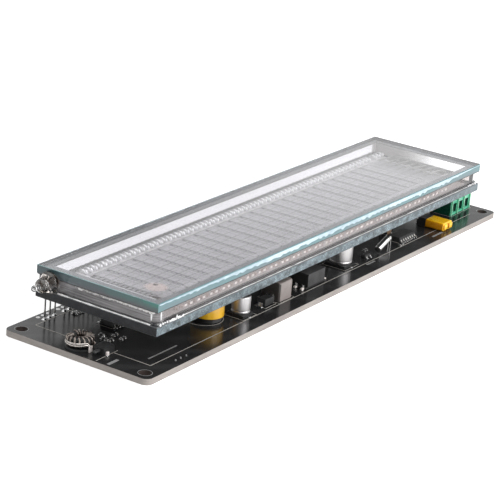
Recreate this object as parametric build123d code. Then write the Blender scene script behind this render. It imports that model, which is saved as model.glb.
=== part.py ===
"""Audio spectrum analyzer display: a flat glass vacuum display carried on its leads over a board.

The frame is millimetres with +Z up. The origin is the middle of the board's underside, +X runs
along the board to its terminal block end and +Y runs to the long edge where the leads come down.
"""
from build123d import *
import math
import os

# Circuit board
board_length = 180.0
board_width = 45.0
board_thickness = 1.6
board_corner_radius = 2.0
mount_hole_diameter = 3.0
mount_hole_inset = 3.25

# Glass envelope
glass_length = 165.0
glass_width = 37.6
glass_lift = 7.7
base_glass_thickness = 2.5
cover_glass_thickness = 2.3
glass_edge_chamfer = 0.2
side_wall_height = 3.2
side_wall_inset = 0.8
side_wall_thickness = 2.0
end_wall_thickness = 2.8
side_wall_corner_radius = 2.2
lower_frit_thickness = 0.4
upper_frit_thickness = 0.2
frit_spread = 0.25

# Exhaust tube, melted shut at its outer end
exhaust_axis_from_back = 4.8
exhaust_axis_height = 2.0
exhaust_root_radius = 1.1
exhaust_bore_radius = 0.5
exhaust_collar_radius = 2.4
exhaust_collar_length = 2.4
exhaust_tube_radius = 1.7
exhaust_tube_length = 2.1
exhaust_end_radius = 1.5
exhaust_shoulder_length = 0.8
exhaust_nib_radius = 0.6
exhaust_tip_radius = 0.25
exhaust_sides = 12
exhaust_reach = 7.2

# Lead frame
lead_pitch = 2.0
lead_width = 0.5
lead_thickness = 0.2
lead_end_margin = 4.5
lead_leg_clearance = 0.25
lead_tab_rise = 1.0
lead_tab_reach = 3.2
lead_tab_crest = 0.45
omitted_lead_places = 3
solder_height = 0.7
solder_foot_width = 1.5
solder_top_width = 0.7

# Anode plate, control grids and filaments inside the glass
anode_plate_thickness = 0.15
anode_plate_margin = 1.2
grid_count = 25
grid_pitch = 5.43
grid_gap = 0.7
grid_span = 20.4
grid_rim = 0.35
grid_thickness = 0.12
grid_height = 1.0
grid_start = 11.3
grid_leg_width = 0.4
grid_leg_spacing = 1.94
grid_near_reach = 3.6
grid_back_reach = 0.7
filament_count = 7
filament_pitch = 2.93
filament_diameter = 0.16
filament_sides = 4
filament_height = 1.9
anchor_end_gap = 1.0
anchor_width = 1.6
anchor_thickness = 0.25
anchor_overhang = 1.2
spring_length = 6.5
spring_width = 1.1
getter_from_left = 6.8
getter_from_near = 6.2
getter_radius = 1.5
getter_sides = 12
getter_channel_width = 0.7
getter_channel_height = 0.5
getter_post_width = 0.6

# Menu switch with a plunger that faces the left edge
switch_from_left = 4.3
switch_from_near = 16.4
switch_depth = 4.1
switch_width = 3.6
switch_height = 1.8
switch_corner_chamfer = 0.2
plunger_level_share = 0.55
plunger_diameter = 1.0
plunger_edge = 0.15
plunger_fit = 0.05
plunger_reach = 2.0
plunger_engagement = 1.5
plunger_travel = 0.25
dome_thickness = 0.15
dome_sides = 12
dome_gap = 0.1
switch_pin_width = 0.8
switch_pin_reach = 0.5
switch_pin_margin = 0.4
tin_thickness = 0.2

# Toroid inductor lying flat on a round base
toroid_from_left = 4.5
toroid_from_near = 24.2
toroid_base_radius = 3.65
toroid_base_height = 0.6
toroid_core_outer_radius = 3.1
toroid_core_inner_radius = 1.6
toroid_core_height = 2.1
toroid_core_sides = 20
toroid_boss_sides = 12
toroid_base_sides = 20
toroid_wire_diameter = 0.42
toroid_wire_clearance = 0.03
toroid_turns = 14
toroid_wound_angle = 318.0
toroid_clip_width = 1.3
toroid_clip_height = 1.5
toroid_clip_offset = 0.2
wire_sides = 5

# Drum inductor bound with tape
drum_from_left = 42.2
drum_from_near = 12.5
drum_flange_radius = 4.2
drum_foot_radius = 3.7
drum_lower_flange = 1.3
drum_upper_flange = 0.9
drum_post_radius = 1.8
drum_post_sides = 12
drum_coil_sides = 12
drum_winding_height = 4.2
drum_tape_thickness = 0.35
drum_tape_proud = 0.1
drum_pin_width = 0.7
drum_pin_spacing = 5.0
drum_standoff = 0.25

# Aluminium capacitors
small_capacitor_place = (51.2, 8.3)
small_capacitor_radius = 2.5
small_capacitor_height = 5.6
large_capacitor_place = (103.4, 9.7)
large_capacitor_radius = 3.15
large_capacitor_height = 5.9
capacitor_base_thickness = 0.8
capacitor_base_margin = 0.15
capacitor_bead_depth = 0.25
capacitor_bead_level = 0.7
capacitor_top_edge = 0.35
capacitor_tab_width = 0.8
capacitor_tab_reach = 0.5

# Moulded choke
choke_place = (68.7, 8.7)
choke_length = 6.2
choke_depth = 6.2
choke_height = 5.3
choke_chamfer = 0.5
choke_tab_width = 2.2

# Step-up transformer
transformer_place = (83.7, 8.6)
transformer_core_length = 8.6
transformer_core_depth = 6.2
transformer_core_height = 3.6
transformer_limb = 1.3
transformer_post_width = 1.9
transformer_coil_gap = 0.1
transformer_coil_recess = 0.4
transformer_deck_thickness = 0.45
transformer_deck_overhang = 0.8
transformer_standoff = 0.15
transformer_pin_pitch = 2.2
transformer_pins_per_side = 3
transformer_pin_width = 0.55
transformer_pin_reach = 1.0
transformer_pin_rise = 0.8

# Rectifier diode and small transistor
diode_place = (62.0, 7.6)
diode_length = 4.3
diode_width = 2.6
diode_height = 2.1
diode_lower_draft = 6
diode_upper_draft = 8
diode_lead_width = 1.4
diode_lead_reach = 0.9
transistor_place = (113.9, 7.7)
transistor_length = 2.9
transistor_width = 1.4
transistor_height = 1.0
transistor_lead_reach = 0.6
transistor_lead_width = 0.45
transistor_lead_pitch = 1.9
body_draft = 10

# Cylinder crystal leaning on its tail
crystal_tail_place = (119.2, 7.0)
crystal_radius = 1.0
crystal_edge = 0.25
crystal_length = 6.2
crystal_tilt = 20.0
crystal_tail_clearance = 0.12
crystal_lead_radius = 0.15
crystal_lead_spacing = 0.7
crystal_lead_run = 0.8

# Integrated circuits
logic_chip_place = (136.3, 8.9)
logic_chip_pins_per_side = 7
amplifier_chip_place = (22.4, 28.0)
amplifier_chip_pins_per_side = 4
small_outline_pitch = 1.27
small_outline_body_width = 3.9
small_outline_body_height = 1.4
small_outline_lead_width = 0.42
small_outline_lead_reach = 1.05
controller_place = (62.0, 26.5)
controller_size = 7.0
driver_places = ((97.0, 26.5), (131.0, 26.5))
driver_size = 9.0
leadless_body_height = 0.9
chip_standoff = 0.1

# Ceramic capacitor, resistor array and chip parts
ceramic_place = (136.2, 14.2)
ceramic_length = 3.2
ceramic_width = 2.5
ceramic_height = 2.4
array_from_left = 21.6
array_from_leads = 1.5
array_length = 3.2
array_width = 1.6
array_height = 0.5
array_terminals_per_side = 4
chip_length = 1.6
chip_width = 0.8
chip_height = 0.5
chip_end_length = 0.35
chips_along = ((13.0, 21.3), (16.2, 19.9), (16.6, 22.7), (130.4, 5.6), (118.4, 10.6))
chips_across = ((14.3, 24.9), (12.6, 23.0), (12.2, 26.6))

# Selector jumper on a right-angle header at the near edge
jumper_from_right = 27.4
jumper_from_near = 2.5
jumper_width = 5.6
jumper_depth = 6.0
jumper_height = 2.5
jumper_lift = 0.15
jumper_corner_radius = 0.7
jumper_slot_width = 0.8
jumper_slot_depth = 1.3
header_pitch = 2.54
header_pin_width = 0.64
header_pin_clearance = 0.05
header_pin_engagement = 4.2
jumper_bore_room = 0.3
header_block_depth = 2.4
header_block_gap = 0.2

# Green terminal block at the right end
terminal_from_right = 2.6
terminal_from_near = 8.2
terminal_poles = 3
terminal_pitch = 3.81
terminal_end_wall = 0.5
terminal_depth = 7.0
terminal_height = 7.3
terminal_shoulder = 1.6
terminal_back_edge = 0.6
terminal_opening_width = 2.5
terminal_opening_height = 2.9
terminal_opening_lift = 0.7
terminal_opening_depth = 4.4
terminal_well_radius = 1.2
terminal_well_setback = 0.6
terminal_round_sides = 12
terminal_screw_radius = 1.05
terminal_screw_height = 1.2
terminal_slot_width = 0.4
terminal_slot_depth = 0.5
terminal_clamp_setback = 0.8
terminal_clamp_wall = 0.3
terminal_clamp_clearance = 0.05

LEFT = -board_length / 2
RIGHT = board_length / 2
NEAR = -board_width / 2
TOP = board_thickness

GLASS_BOTTOM = TOP + glass_lift
BASE_TOP = GLASS_BOTTOM + base_glass_thickness
WALL_BOTTOM = BASE_TOP + lower_frit_thickness
WALL_TOP = WALL_BOTTOM + side_wall_height
COVER_BOTTOM = WALL_TOP + upper_frit_thickness
WALL_LENGTH = glass_length - 2 * side_wall_inset
WALL_WIDTH = glass_width - 2 * side_wall_inset
CAVITY_LENGTH = WALL_LENGTH - 2 * end_wall_thickness
CAVITY_WIDTH = WALL_WIDTH - 2 * side_wall_thickness
PLATE_TOP = BASE_TOP + anode_plate_thickness


def block(x0, x1, y0, y1, z0, z1):
    """A box between two corners."""
    size = Box(x1 - x0, y1 - y0, z1 - z0)
    return Pos((x0 + x1) / 2, (y0 + y1) / 2, (z0 + z1) / 2) * size


def placed(place):
    """Turn a place measured from the left and near board edges into the model's frame."""
    return LEFT + place[0], NEAR + place[1]


def prism(outline, z0, height):
    """Extrude a flat sketch upwards from a level."""
    return extrude(Pos(0, 0, z0) * outline, amount=height)


def strip_outline(points, thickness):
    """Outline of a bent strip: its centre line moved half a thickness to either side."""
    half = thickness / 2
    sides = ([], [])
    for index, (a, b) in enumerate(points):
        before = points[max(index - 1, 0)]
        after = points[min(index + 1, len(points) - 1)]
        first = math.atan2(b - before[1], a - before[0]) if index else None
        last = math.atan2(after[1] - b, after[0] - a) if index < len(points) - 1 else None
        first = last if first is None else first
        last = first if last is None else last
        mean = first + math.remainder(last - first, 2 * math.pi) / 2
        reach = half / math.cos(mean - first)
        for side, sign in zip(sides, (1, -1)):
            side.append((a - sign * reach * math.sin(mean), b + sign * reach * math.cos(mean)))
    return sides[0] + sides[1][::-1]


def bent_strip_yz(points, thickness, x, width):
    """A strip bent in the YZ plane, given by its centre line, and extruded along X."""
    outline = [Vector(x - width / 2, y, z) for y, z in strip_outline(points, thickness)]
    face = Face(Wire.make_polygon(outline))
    return extrude(face, amount=width, dir=(1, 0, 0))


def bent_strip_xz(points, thickness, y, width):
    """A strip bent in the XZ plane, given by its centre line, and extruded along Y."""
    outline = [Vector(x, y - width / 2, z) for x, z in strip_outline(points, thickness)]
    face = Face(Wire.make_polygon(outline))
    return extrude(face, amount=width, dir=(0, 1, 0))


def ring(length, width, wall_x, wall_y, corner_radius, z0, height):
    """A rectangular frame, rounded outside and with square corners inside."""
    outer = RectangleRounded(length, width, corner_radius)
    return prism(outer - Rectangle(length - 2 * wall_x, width - 2 * wall_y), z0, height)


def round_bar(start, end, radius):
    """A round bar between two points."""
    run = Vector(*end) - Vector(*start)
    plane = Plane(origin=start, z_dir=run)
    return extrude(plane * Circle(radius), amount=run.length)


def swept_wire(points, diameter):
    """A faceted wire that follows straight runs with mitred corners."""
    path = Polyline(*points)
    section = Plane(origin=points[0], z_dir=Vector(*points[1]) - Vector(*points[0]))
    outline = section * RegularPolygon(diameter / 2, wire_sides)
    return sweep(outline, path=path, transition=Transition.RIGHT)


def lead_places():
    """X places of the leads: one row, centred, with one place left empty near each end."""
    count = int((glass_length - 2 * lead_end_margin) / lead_pitch + 1e-6) + 1
    first = -(count - 1) * lead_pitch / 2
    empty = {omitted_lead_places, count - 1 - omitted_lead_places}
    return [first + index * lead_pitch for index in range(count) if index not in empty]


LEG_Y = glass_width / 2 + lead_leg_clearance + lead_thickness / 2


def circuit_board():
    """The board with rounded corners and its four corner holes."""
    outline = RectangleRounded(board_length, board_width, board_corner_radius)
    holes = GridLocations(
        board_length - 2 * mount_hole_inset, board_width - 2 * mount_hole_inset, 2, 2
    ) * Circle(mount_hole_diameter / 2)
    return prism(outline - holes, 0, board_thickness)


def glass_plate(z0, thickness):
    """A cut glass plate with its edges broken."""
    plate = prism(Rectangle(glass_length, glass_width), z0, thickness)
    return chamfer(plate.edges().filter_by(Axis.Z, reverse=True), glass_edge_chamfer)


def faceted_run(start, radius, end_radius, length):
    """A many-sided run of drawn glass towards -X, from one radius to the next."""
    flat = math.cos(math.pi / exhaust_sides)
    slope = math.degrees(math.atan((radius - end_radius) * flat / length))
    plane = Plane(origin=start, z_dir=(-1, 0, 0))
    return extrude(plane * RegularPolygon(radius, exhaust_sides), amount=length, taper=slope)


def exhaust_axis():
    """Y and Z of the exhaust tube's axis."""
    return glass_width / 2 - exhaust_axis_from_back, WALL_BOTTOM + exhaust_axis_height


def side_wall_frame():
    """The glass frame that stands between the base and the cover, bored for the exhaust tube."""
    frame = ring(WALL_LENGTH, WALL_WIDTH, end_wall_thickness, side_wall_thickness,
                 side_wall_corner_radius, WALL_BOTTOM, side_wall_height)
    y, z = exhaust_axis()
    outer_face = -WALL_LENGTH / 2
    bore = faceted_run((outer_face + end_wall_thickness + 1, y, z), exhaust_root_radius,
                       exhaust_root_radius, end_wall_thickness + 2)
    return frame - bore


def frit_ring(z0, thickness):
    """A layer of sealing glass under or over the side wall, spread a little past it."""
    return ring(
        WALL_LENGTH + 2 * frit_spread, WALL_WIDTH + 2 * frit_spread,
        end_wall_thickness + 2 * frit_spread, side_wall_thickness + 2 * frit_spread,
        side_wall_corner_radius + frit_spread, z0, thickness,
    )


def lower_frit_seal():
    """The lower seal, stepped along the back where it lies over the row of leads."""
    seal = frit_ring(BASE_TOP, lower_frit_thickness)
    reach = max(lead_places()) + lead_width
    y0 = CAVITY_WIDTH / 2 - 2 * frit_spread
    y1 = WALL_WIDTH / 2 + 2 * frit_spread
    return seal - block(-reach, reach, y0, y1, BASE_TOP - 1, BASE_TOP + lead_thickness)


def exhaust_tube():
    """The exhaust tube: a root in the end wall, a thick collar, a short tube and a drawn tip."""
    y, z = exhaust_axis()
    root_in = WALL_LENGTH / 2 - end_wall_thickness
    face = glass_length / 2 + glass_edge_chamfer
    collar_end = face + exhaust_collar_length
    tube_end = collar_end + exhaust_tube_length
    shoulder_end = tube_end + exhaust_shoulder_length
    tube = faceted_run((-root_in, y, z), exhaust_root_radius, exhaust_root_radius, face - root_in)
    tube += faceted_run((-face, y, z), exhaust_collar_radius, exhaust_tube_radius, collar_end - face)
    tube += faceted_run((-collar_end, y, z), exhaust_tube_radius, exhaust_end_radius,
                        exhaust_tube_length)
    tube += faceted_run((-tube_end, y, z), exhaust_end_radius, exhaust_nib_radius,
                        exhaust_shoulder_length)
    tube += faceted_run((-shoulder_end, y, z), exhaust_nib_radius, exhaust_tip_radius,
                        glass_length / 2 + exhaust_reach - shoulder_end)
    bore = faceted_run((-root_in, y, z), exhaust_bore_radius, exhaust_bore_radius,
                       collar_end - root_in)
    return tube - bore


def lead_profile():
    """Centre line of one lead: hooped contact tab, flat run through the seal, bend and leg."""
    run_z = BASE_TOP + lead_thickness / 2
    tab_root = CAVITY_WIDTH / 2 - 2 * frit_spread
    tab_end = tab_root - lead_tab_reach
    return [
        (tab_end, PLATE_TOP + lead_thickness),
        (tab_end + lead_tab_crest * lead_tab_reach, run_z + lead_tab_rise),
        (tab_root, run_z),
        (LEG_Y, run_z),
        (LEG_Y, TOP + solder_height),
    ]


def lead_frame():
    """Every lead of the display, each one bent from a flat strip."""
    return [bent_strip_yz(lead_profile(), lead_thickness, x, lead_width) for x in lead_places()]


def solder_joints():
    """A small four-sided solder cone under each lead."""
    slope = math.degrees(math.atan2((solder_foot_width - solder_top_width) / 2, solder_height))
    foot = Rectangle(solder_foot_width, solder_foot_width)
    return [extrude(Pos(x, LEG_Y, TOP) * foot, amount=solder_height, taper=slope)
            for x in lead_places()]


def anode_plate():
    """The dark insulating layer under the phosphor segments."""
    left, right, _ = filament_ends()
    half = CAVITY_WIDTH / 2 - lead_tab_reach - anode_plate_margin - 2 * frit_spread
    return block(left + anode_plate_margin, right + spring_length - anode_plate_margin,
                 -half, half, BASE_TOP, PLATE_TOP)


def grid_leg(x, edge, foot, level):
    """A sloping leg from a grid's rim down to its foot."""
    z0 = BASE_TOP + grid_height
    outward = math.copysign(grid_thickness, foot - edge)
    outline = [(edge, z0), (foot, level), (foot + outward, level), (edge, z0 + grid_thickness)]
    face = Face(Wire.make_polygon([Vector(x - grid_leg_width / 2, y, z) for y, z in outline]))
    return extrude(face, amount=grid_leg_width, dir=(1, 0, 0))


def control_grids():
    """One grid for each band: a rimmed window on sloping legs, two at the near side and one behind."""
    grids = []
    z0 = BASE_TOP + grid_height
    half = grid_span / 2
    width = grid_pitch - grid_gap
    near_foot = -half - grid_near_reach
    back_foot = half + grid_back_reach
    for index in range(grid_count):
        x = -glass_length / 2 + grid_start + (index + 0.5) * grid_pitch
        rim = block(x - width / 2, x + width / 2, -half, half, z0, z0 + grid_thickness)
        window = block(x - width / 2 + grid_rim, x + width / 2 - grid_rim,
                       -half + grid_rim, half - grid_rim, z0 - 1, z0 + 1)
        grid = rim - window
        for side in (-1, 1):
            grid += grid_leg(x + side * grid_leg_spacing / 2, -half, near_foot, BASE_TOP)
        grid += grid_leg(x, half, back_foot, PLATE_TOP)
        grids.append(grid)
    return grids


def filament_rows():
    """Y places of the filaments."""
    return [(index - (filament_count - 1) / 2) * filament_pitch for index in range(filament_count)]


def filament_ends():
    """X of the two lines where the filaments are held, and the level of their axes."""
    left = -CAVITY_LENGTH / 2 + frit_spread + anchor_end_gap + anchor_width
    right = CAVITY_LENGTH / 2 - frit_spread - anchor_end_gap - anchor_width - spring_length
    return left, right, BASE_TOP + filament_height


def filaments():
    """Fine wires drawn over the grids from the anchor to the springs."""
    left, right, z = filament_ends()
    section = RegularPolygon(filament_diameter / 2, filament_sides)
    wires = []
    for y in filament_rows():
        plane = Plane(origin=(left, y, z), z_dir=(1, 0, 0))
        wires.append(extrude(plane * section, amount=right - left))
    return wires


def filament_anchor():
    """The fixed anchor at the left end: a foot on the glass, a web and a shelf under the wires."""
    left, _, z = filament_ends()
    top = z - filament_diameter / 2
    half = (filament_count - 1) / 2 * filament_pitch + anchor_overhang
    x0 = left - anchor_width
    foot = block(x0, left, -half, half, BASE_TOP, BASE_TOP + anchor_thickness)
    web = block(x0, x0 + anchor_thickness, -half, half, BASE_TOP, top)
    anchor = foot + web
    for y in filament_rows():
        anchor += block(x0, left + anchor_overhang / 2, y - spring_width / 2, y + spring_width / 2,
                        top - anchor_thickness, top)
    return anchor


def filament_springs():
    """The sprung support at the right end: one leaf for each wire."""
    _, right, z = filament_ends()
    top = z - filament_diameter / 2
    half = (filament_count - 1) / 2 * filament_pitch + anchor_overhang
    x1 = right + spring_length + anchor_width
    x0 = x1 - anchor_width
    spring = block(x0, x1, -half, half, BASE_TOP, BASE_TOP + anchor_thickness)
    spring += block(x1 - anchor_thickness, x1, -half, half, BASE_TOP, top - anchor_thickness)
    leaf_start = right - anchor_overhang / 2
    level = top - anchor_thickness / 2
    dip = (top - BASE_TOP) / 3
    leaf = [(leaf_start, level), (right + spring_length / 3, level),
            (x1 - anchor_thickness / 2, level - dip)]
    for y in filament_rows():
        spring += bent_strip_xz(leaf, anchor_thickness, y, spring_width)
    return spring


def getter_ring():
    """The getter: a small channel ring on a flat post."""
    x = -glass_length / 2 + getter_from_left
    y = -glass_width / 2 + getter_from_near
    z = BASE_TOP + filament_height
    outer = RegularPolygon(getter_radius + getter_channel_width / 2, getter_sides)
    inner = RegularPolygon(getter_radius - getter_channel_width / 2, getter_sides)
    hoop = Pos(x, y, 0) * prism(outer - inner, z, getter_channel_height)
    post_y = y - getter_radius
    post = block(x - getter_post_width / 2, x + getter_post_width / 2, post_y - anchor_thickness / 2,
                 post_y + anchor_thickness / 2, BASE_TOP, z)
    return hoop + post


def switch_frame():
    """Corner of the menu switch, its middle line and its plunger level."""
    x = LEFT + switch_from_left
    y = NEAR + switch_from_near
    return x, y, y + switch_width / 2, TOP + plunger_level_share * switch_height


def menu_switch_body():
    """The switch housing with the blind bore that guides the plunger."""
    x, y, middle, level = switch_frame()
    body = block(x, x + switch_depth, y, y + switch_width, TOP, TOP + switch_height)
    body = chamfer(body.edges().filter_by(Axis.Z), switch_corner_chamfer)
    depth = plunger_engagement + plunger_travel + dome_gap + dome_thickness
    bore = round_bar((x - 1, middle, level), (x + depth, middle, level),
                     plunger_diameter / 2 + plunger_fit)
    return body - bore


def menu_switch_dome():
    """The snap dome contact at the end of the bore."""
    x, _, middle, level = switch_frame()
    start = x + plunger_engagement + plunger_travel + dome_gap
    outline = RegularPolygon(plunger_diameter / 2 + plunger_fit, dome_sides)
    return extrude(Plane(origin=(start, middle, level), z_dir=(1, 0, 0)) * outline, amount=dome_thickness)


def menu_plunger():
    """The plunger, with a broken edge at its pressing end."""
    x, _, middle, level = switch_frame()
    pin = round_bar((x - plunger_reach, middle, level), (x + plunger_engagement, middle, level),
                    plunger_diameter / 2)
    return chamfer(pin.edges().group_by(Axis.X)[0], plunger_edge)


def menu_switch_pins():
    """Two tinned terminals, folded up the long sides of the switch."""
    x, y, _, _ = switch_frame()
    pins = []
    front = x + switch_pin_margin
    rear = x + switch_depth - switch_pin_margin - switch_pin_width
    for side, foot_x in ((-1, front), (1, rear)):
        wall = y if side < 0 else y + switch_width
        a, b = sorted((wall, wall + side * tin_thickness))
        c, d = sorted((wall, wall + side * switch_pin_reach))
        pins.append(block(foot_x, foot_x + switch_pin_width, a, b, TOP, TOP + switch_height / 2)
                    + block(foot_x, foot_x + switch_pin_width, c, d, TOP, TOP + tin_thickness))
    return pins


def toroid_levels():
    """Place of the toroid's axis and the levels of its core."""
    x, y = placed((toroid_from_left, toroid_from_near))
    core_bottom = TOP + toroid_base_height + toroid_wire_diameter + 2 * toroid_wire_clearance
    return x, y, core_bottom, core_bottom + toroid_core_height


def toroid_base():
    """The mounting base: a disc with flats on its rim, and a boss that carries the core."""
    x, y, core_bottom, _ = toroid_levels()
    base = Pos(x, y, 0) * prism(RegularPolygon(toroid_base_radius, toroid_base_sides), TOP,
                                toroid_base_height)
    inner = toroid_core_inner_radius - toroid_wire_diameter - 3 * toroid_wire_clearance
    boss_height = core_bottom - TOP + toroid_core_height / 2
    return base + Pos(x, y, 0) * prism(RegularPolygon(inner, toroid_boss_sides), TOP, boss_height)


def toroid_core():
    """The ferrite ring, pressed with flats on its rim."""
    x, y, core_bottom, core_top = toroid_levels()
    outline = RegularPolygon(toroid_core_outer_radius, toroid_core_sides)
    outline -= RegularPolygon(toroid_core_inner_radius, toroid_core_sides, major_radius=False)
    return Pos(x, y, 0) * prism(outline, core_bottom, core_top - core_bottom)


def toroid_winding():
    """One wire wound round the ring, with both ends brought out to the clips."""
    x, y, core_bottom, core_top = toroid_levels()
    half = toroid_wire_diameter / 2 + toroid_wire_clearance
    outer = toroid_core_outer_radius + half
    inner = toroid_core_inner_radius - half
    low, high = core_bottom - half, core_top + half
    step = toroid_wound_angle / toroid_turns
    start = 90 + (360 - toroid_wound_angle) / 2

    def at(radius, angle, level):
        turn = math.radians(angle)
        return x + radius * math.cos(turn), y + radius * math.sin(turn), level

    points = []
    for index in range(toroid_turns):
        angle = start + index * step
        points.append(at(outer, angle, low))
        points.append(at(outer, angle, high))
        points.append(at(inner, angle + step / 2, high))
        points.append(at(inner, angle + step / 2, low))
    points.append(at(outer, start + toroid_turns * step, low))
    return swept_wire(points, toroid_wire_diameter)


def toroid_clips():
    """Two tinned clips on the rim of the toroid's base, one at the near side and one behind."""
    x, y, _, _ = toroid_levels()
    x0 = x + toroid_clip_offset
    clips = []
    for side in (-1, 1):
        face = y + side * toroid_base_radius
        a, b = sorted((face, face + side * tin_thickness))
        clips.append(block(x0, x0 + toroid_clip_width, a, b, TOP, TOP + toroid_clip_height))
    return clips


def drum_levels():
    """Place of the drum inductor and the levels of its flanges."""
    x, y = placed((drum_from_left, drum_from_near))
    lower = TOP + drum_standoff
    wound = lower + drum_lower_flange
    return x, y, lower, wound, wound + drum_winding_height


def drum_core():
    """The ferrite drum: two flanges on a post."""
    x, y, lower, wound, upper = drum_levels()
    core = prism(Circle(drum_foot_radius), lower, drum_lower_flange)
    core += prism(drum_post(), wound, drum_winding_height)
    core += prism(Circle(drum_flange_radius), upper, drum_upper_flange)
    return Pos(x, y, 0) * core


def drum_post():
    """Outline of the drum's post."""
    return RegularPolygon(drum_post_radius, drum_post_sides)


def drum_coil():
    """Outline of the coil, under the tape."""
    return RegularPolygon(drum_flange_radius + drum_tape_proud - drum_tape_thickness, drum_coil_sides)


def drum_winding():
    """The coil between the flanges."""
    x, y, _, wound, _ = drum_levels()
    return Pos(x, y, 0) * prism(drum_coil() - drum_post(), wound, drum_winding_height)


def drum_tape():
    """The tape wrapped round the coil."""
    x, y, _, wound, _ = drum_levels()
    outline = Circle(drum_flange_radius + drum_tape_proud) - drum_coil()
    return Pos(x, y, 0) * prism(outline, wound, drum_winding_height)


def drum_pins():
    """Two short flat pins under the drum."""
    x, y, lower, _, _ = drum_levels()
    outline = Rectangle(drum_pin_width, drum_pin_width)
    return [Pos(x + side * drum_pin_spacing / 2, y, 0) * prism(outline, TOP, lower - TOP)
            for side in (-1, 1)]


def capacitor_can(place, radius, height):
    """An aluminium can with its crimped bead and the broken edge of its top."""
    x, y = placed(place)
    z0 = TOP + capacitor_base_thickness
    z1 = TOP + height
    bead = capacitor_bead_depth
    groove = z0 + capacitor_bead_level
    edge = capacitor_top_edge
    with BuildLine() as profile:
        Polyline((0, z0), (radius, z0), (radius - bead, groove),
                 (radius, groove + capacitor_bead_level), (radius, z1 - edge),
                 (radius - edge, z1), (0, z1), (0, z0))
    return Pos(x, y, 0) * revolve(Plane.XZ * make_face(profile.line), axis=Axis.Z)


def capacitor_base(place, radius):
    """The square plastic base, with two corners cut off."""
    x, y = placed(place)
    half = radius + capacitor_base_margin
    base = block(x - half, x + half, y - half, y + half, TOP, TOP + capacitor_base_thickness)
    return chamfer(base.edges().filter_by(Axis.Z).group_by(Axis.X)[-1], radius / 3)


def capacitor_tabs(place, radius):
    """The two soldered tabs that stick out of the base."""
    x, y = placed(place)
    half = radius + capacitor_base_margin
    tabs = []
    for side in (-1, 1):
        a, b = sorted((y + side * half, y + side * (half + capacitor_tab_reach)))
        tabs.append(block(x - capacitor_tab_width / 2, x + capacitor_tab_width / 2, a, b,
                          TOP, TOP + tin_thickness))
    return tabs


def choke_body():
    """The pressed powder body of the choke."""
    x, y = placed(choke_place)
    body = block(x - choke_length / 2, x + choke_length / 2, y - choke_depth / 2, y + choke_depth / 2,
                 TOP, TOP + choke_height)
    body = chamfer(body.edges().filter_by(Axis.Z), choke_chamfer)
    return chamfer(body.faces().sort_by(Axis.Z)[-1].edges(), choke_chamfer / 2)


def choke_tabs():
    """The tinned end tabs of the choke, folded up its ends."""
    x, y = placed(choke_place)
    tabs = []
    for side in (-1, 1):
        face = x + side * choke_length / 2
        a, b = sorted((face, face + side * tin_thickness))
        tabs.append(block(a, b, y - choke_tab_width / 2, y + choke_tab_width / 2,
                          TOP, TOP + choke_height / 3))
    return tabs


def transformer_levels():
    """Place of the transformer and the levels of its deck and core."""
    x, y = placed(transformer_place)
    deck = TOP + transformer_standoff
    return x, y, deck, deck + transformer_deck_thickness


def transformer_core():
    """The ferrite core: an outer frame with a middle post."""
    x, y, _, bottom = transformer_levels()
    half_x, half_y = transformer_core_length / 2, transformer_core_depth / 2
    top = bottom + transformer_core_height
    core = block(x - half_x, x + half_x, y - half_y, y + half_y, bottom, top)
    for side in (-1, 1):
        a = x + side * transformer_post_width / 2
        b = x + side * (half_x - transformer_limb)
        low, high = sorted((a, b))
        core -= block(low, high, y - half_y + transformer_limb, y + half_y - transformer_limb,
                      bottom - 1, top + 1)
    return core


def transformer_coil():
    """The two stacks of winding beside the middle post."""
    x, y, _, bottom = transformer_levels()
    half_x, half_y = transformer_core_length / 2, transformer_core_depth / 2
    gap = transformer_coil_gap
    coils = []
    for side in (-1, 1):
        a = x + side * (transformer_post_width / 2 + gap)
        b = x + side * (half_x - transformer_limb - gap)
        low, high = sorted((a, b))
        coils.append(block(low, high, y - half_y + transformer_limb + gap,
                           y + half_y - transformer_limb - gap, bottom,
                           bottom + transformer_core_height - transformer_coil_recess))
    return coils


def transformer_deck():
    """The bobbin's flat deck, which reaches past the core at both ends."""
    x, y, deck, top = transformer_levels()
    half_x = transformer_core_length / 2 + transformer_deck_overhang
    half_y = transformer_core_depth / 2
    return block(x - half_x, x + half_x, y - half_y, y + half_y, deck, top)


def transformer_pins():
    """Gull-wing pins at both ends of the deck."""
    x, y, deck, top = transformer_levels()
    end = transformer_core_length / 2 + transformer_deck_overhang
    pins = []
    for side in (-1, 1):
        face = x + side * end
        middle = face + side * tin_thickness / 2
        centre_line = [(middle, top + transformer_pin_rise), (middle, TOP + tin_thickness / 2),
                       (face + side * transformer_pin_reach, TOP + tin_thickness / 2)]
        for index in range(transformer_pins_per_side):
            pin_y = y + (index - (transformer_pins_per_side - 1) / 2) * transformer_pin_pitch
            pins.append(bent_strip_xz(centre_line, tin_thickness, pin_y, transformer_pin_width))
    return pins


def diode_body():
    """The moulded diode, drafted on all four sides."""
    x, y = placed(diode_place)
    foot = Rectangle(diode_length, diode_width)
    z0 = TOP + chip_standoff
    middle = (diode_height - chip_standoff) / 2
    lower = extrude(Pos(x, y, z0 + middle) * foot, amount=-middle, taper=diode_lower_draft)
    upper = extrude(Pos(x, y, z0 + middle) * foot, amount=middle, taper=diode_upper_draft)
    return lower + upper


def end_leads(place, length, level, reach, width, offsets):
    """Gull-wing leads at both X ends of a small body, at the given Y offsets."""
    x, y = placed(place)
    leads = []
    for side, rows in zip((-1, 1), offsets):
        face = x + side * length / 2
        foot = face + side * reach
        centre_line = [(face + side * tin_thickness / 2, level),
                       (face + side * reach / 2, TOP + tin_thickness / 2),
                       (foot, TOP + tin_thickness / 2)]
        for row in rows:
            leads.append(bent_strip_xz(centre_line, tin_thickness, y + row, width))
    return leads


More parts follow.
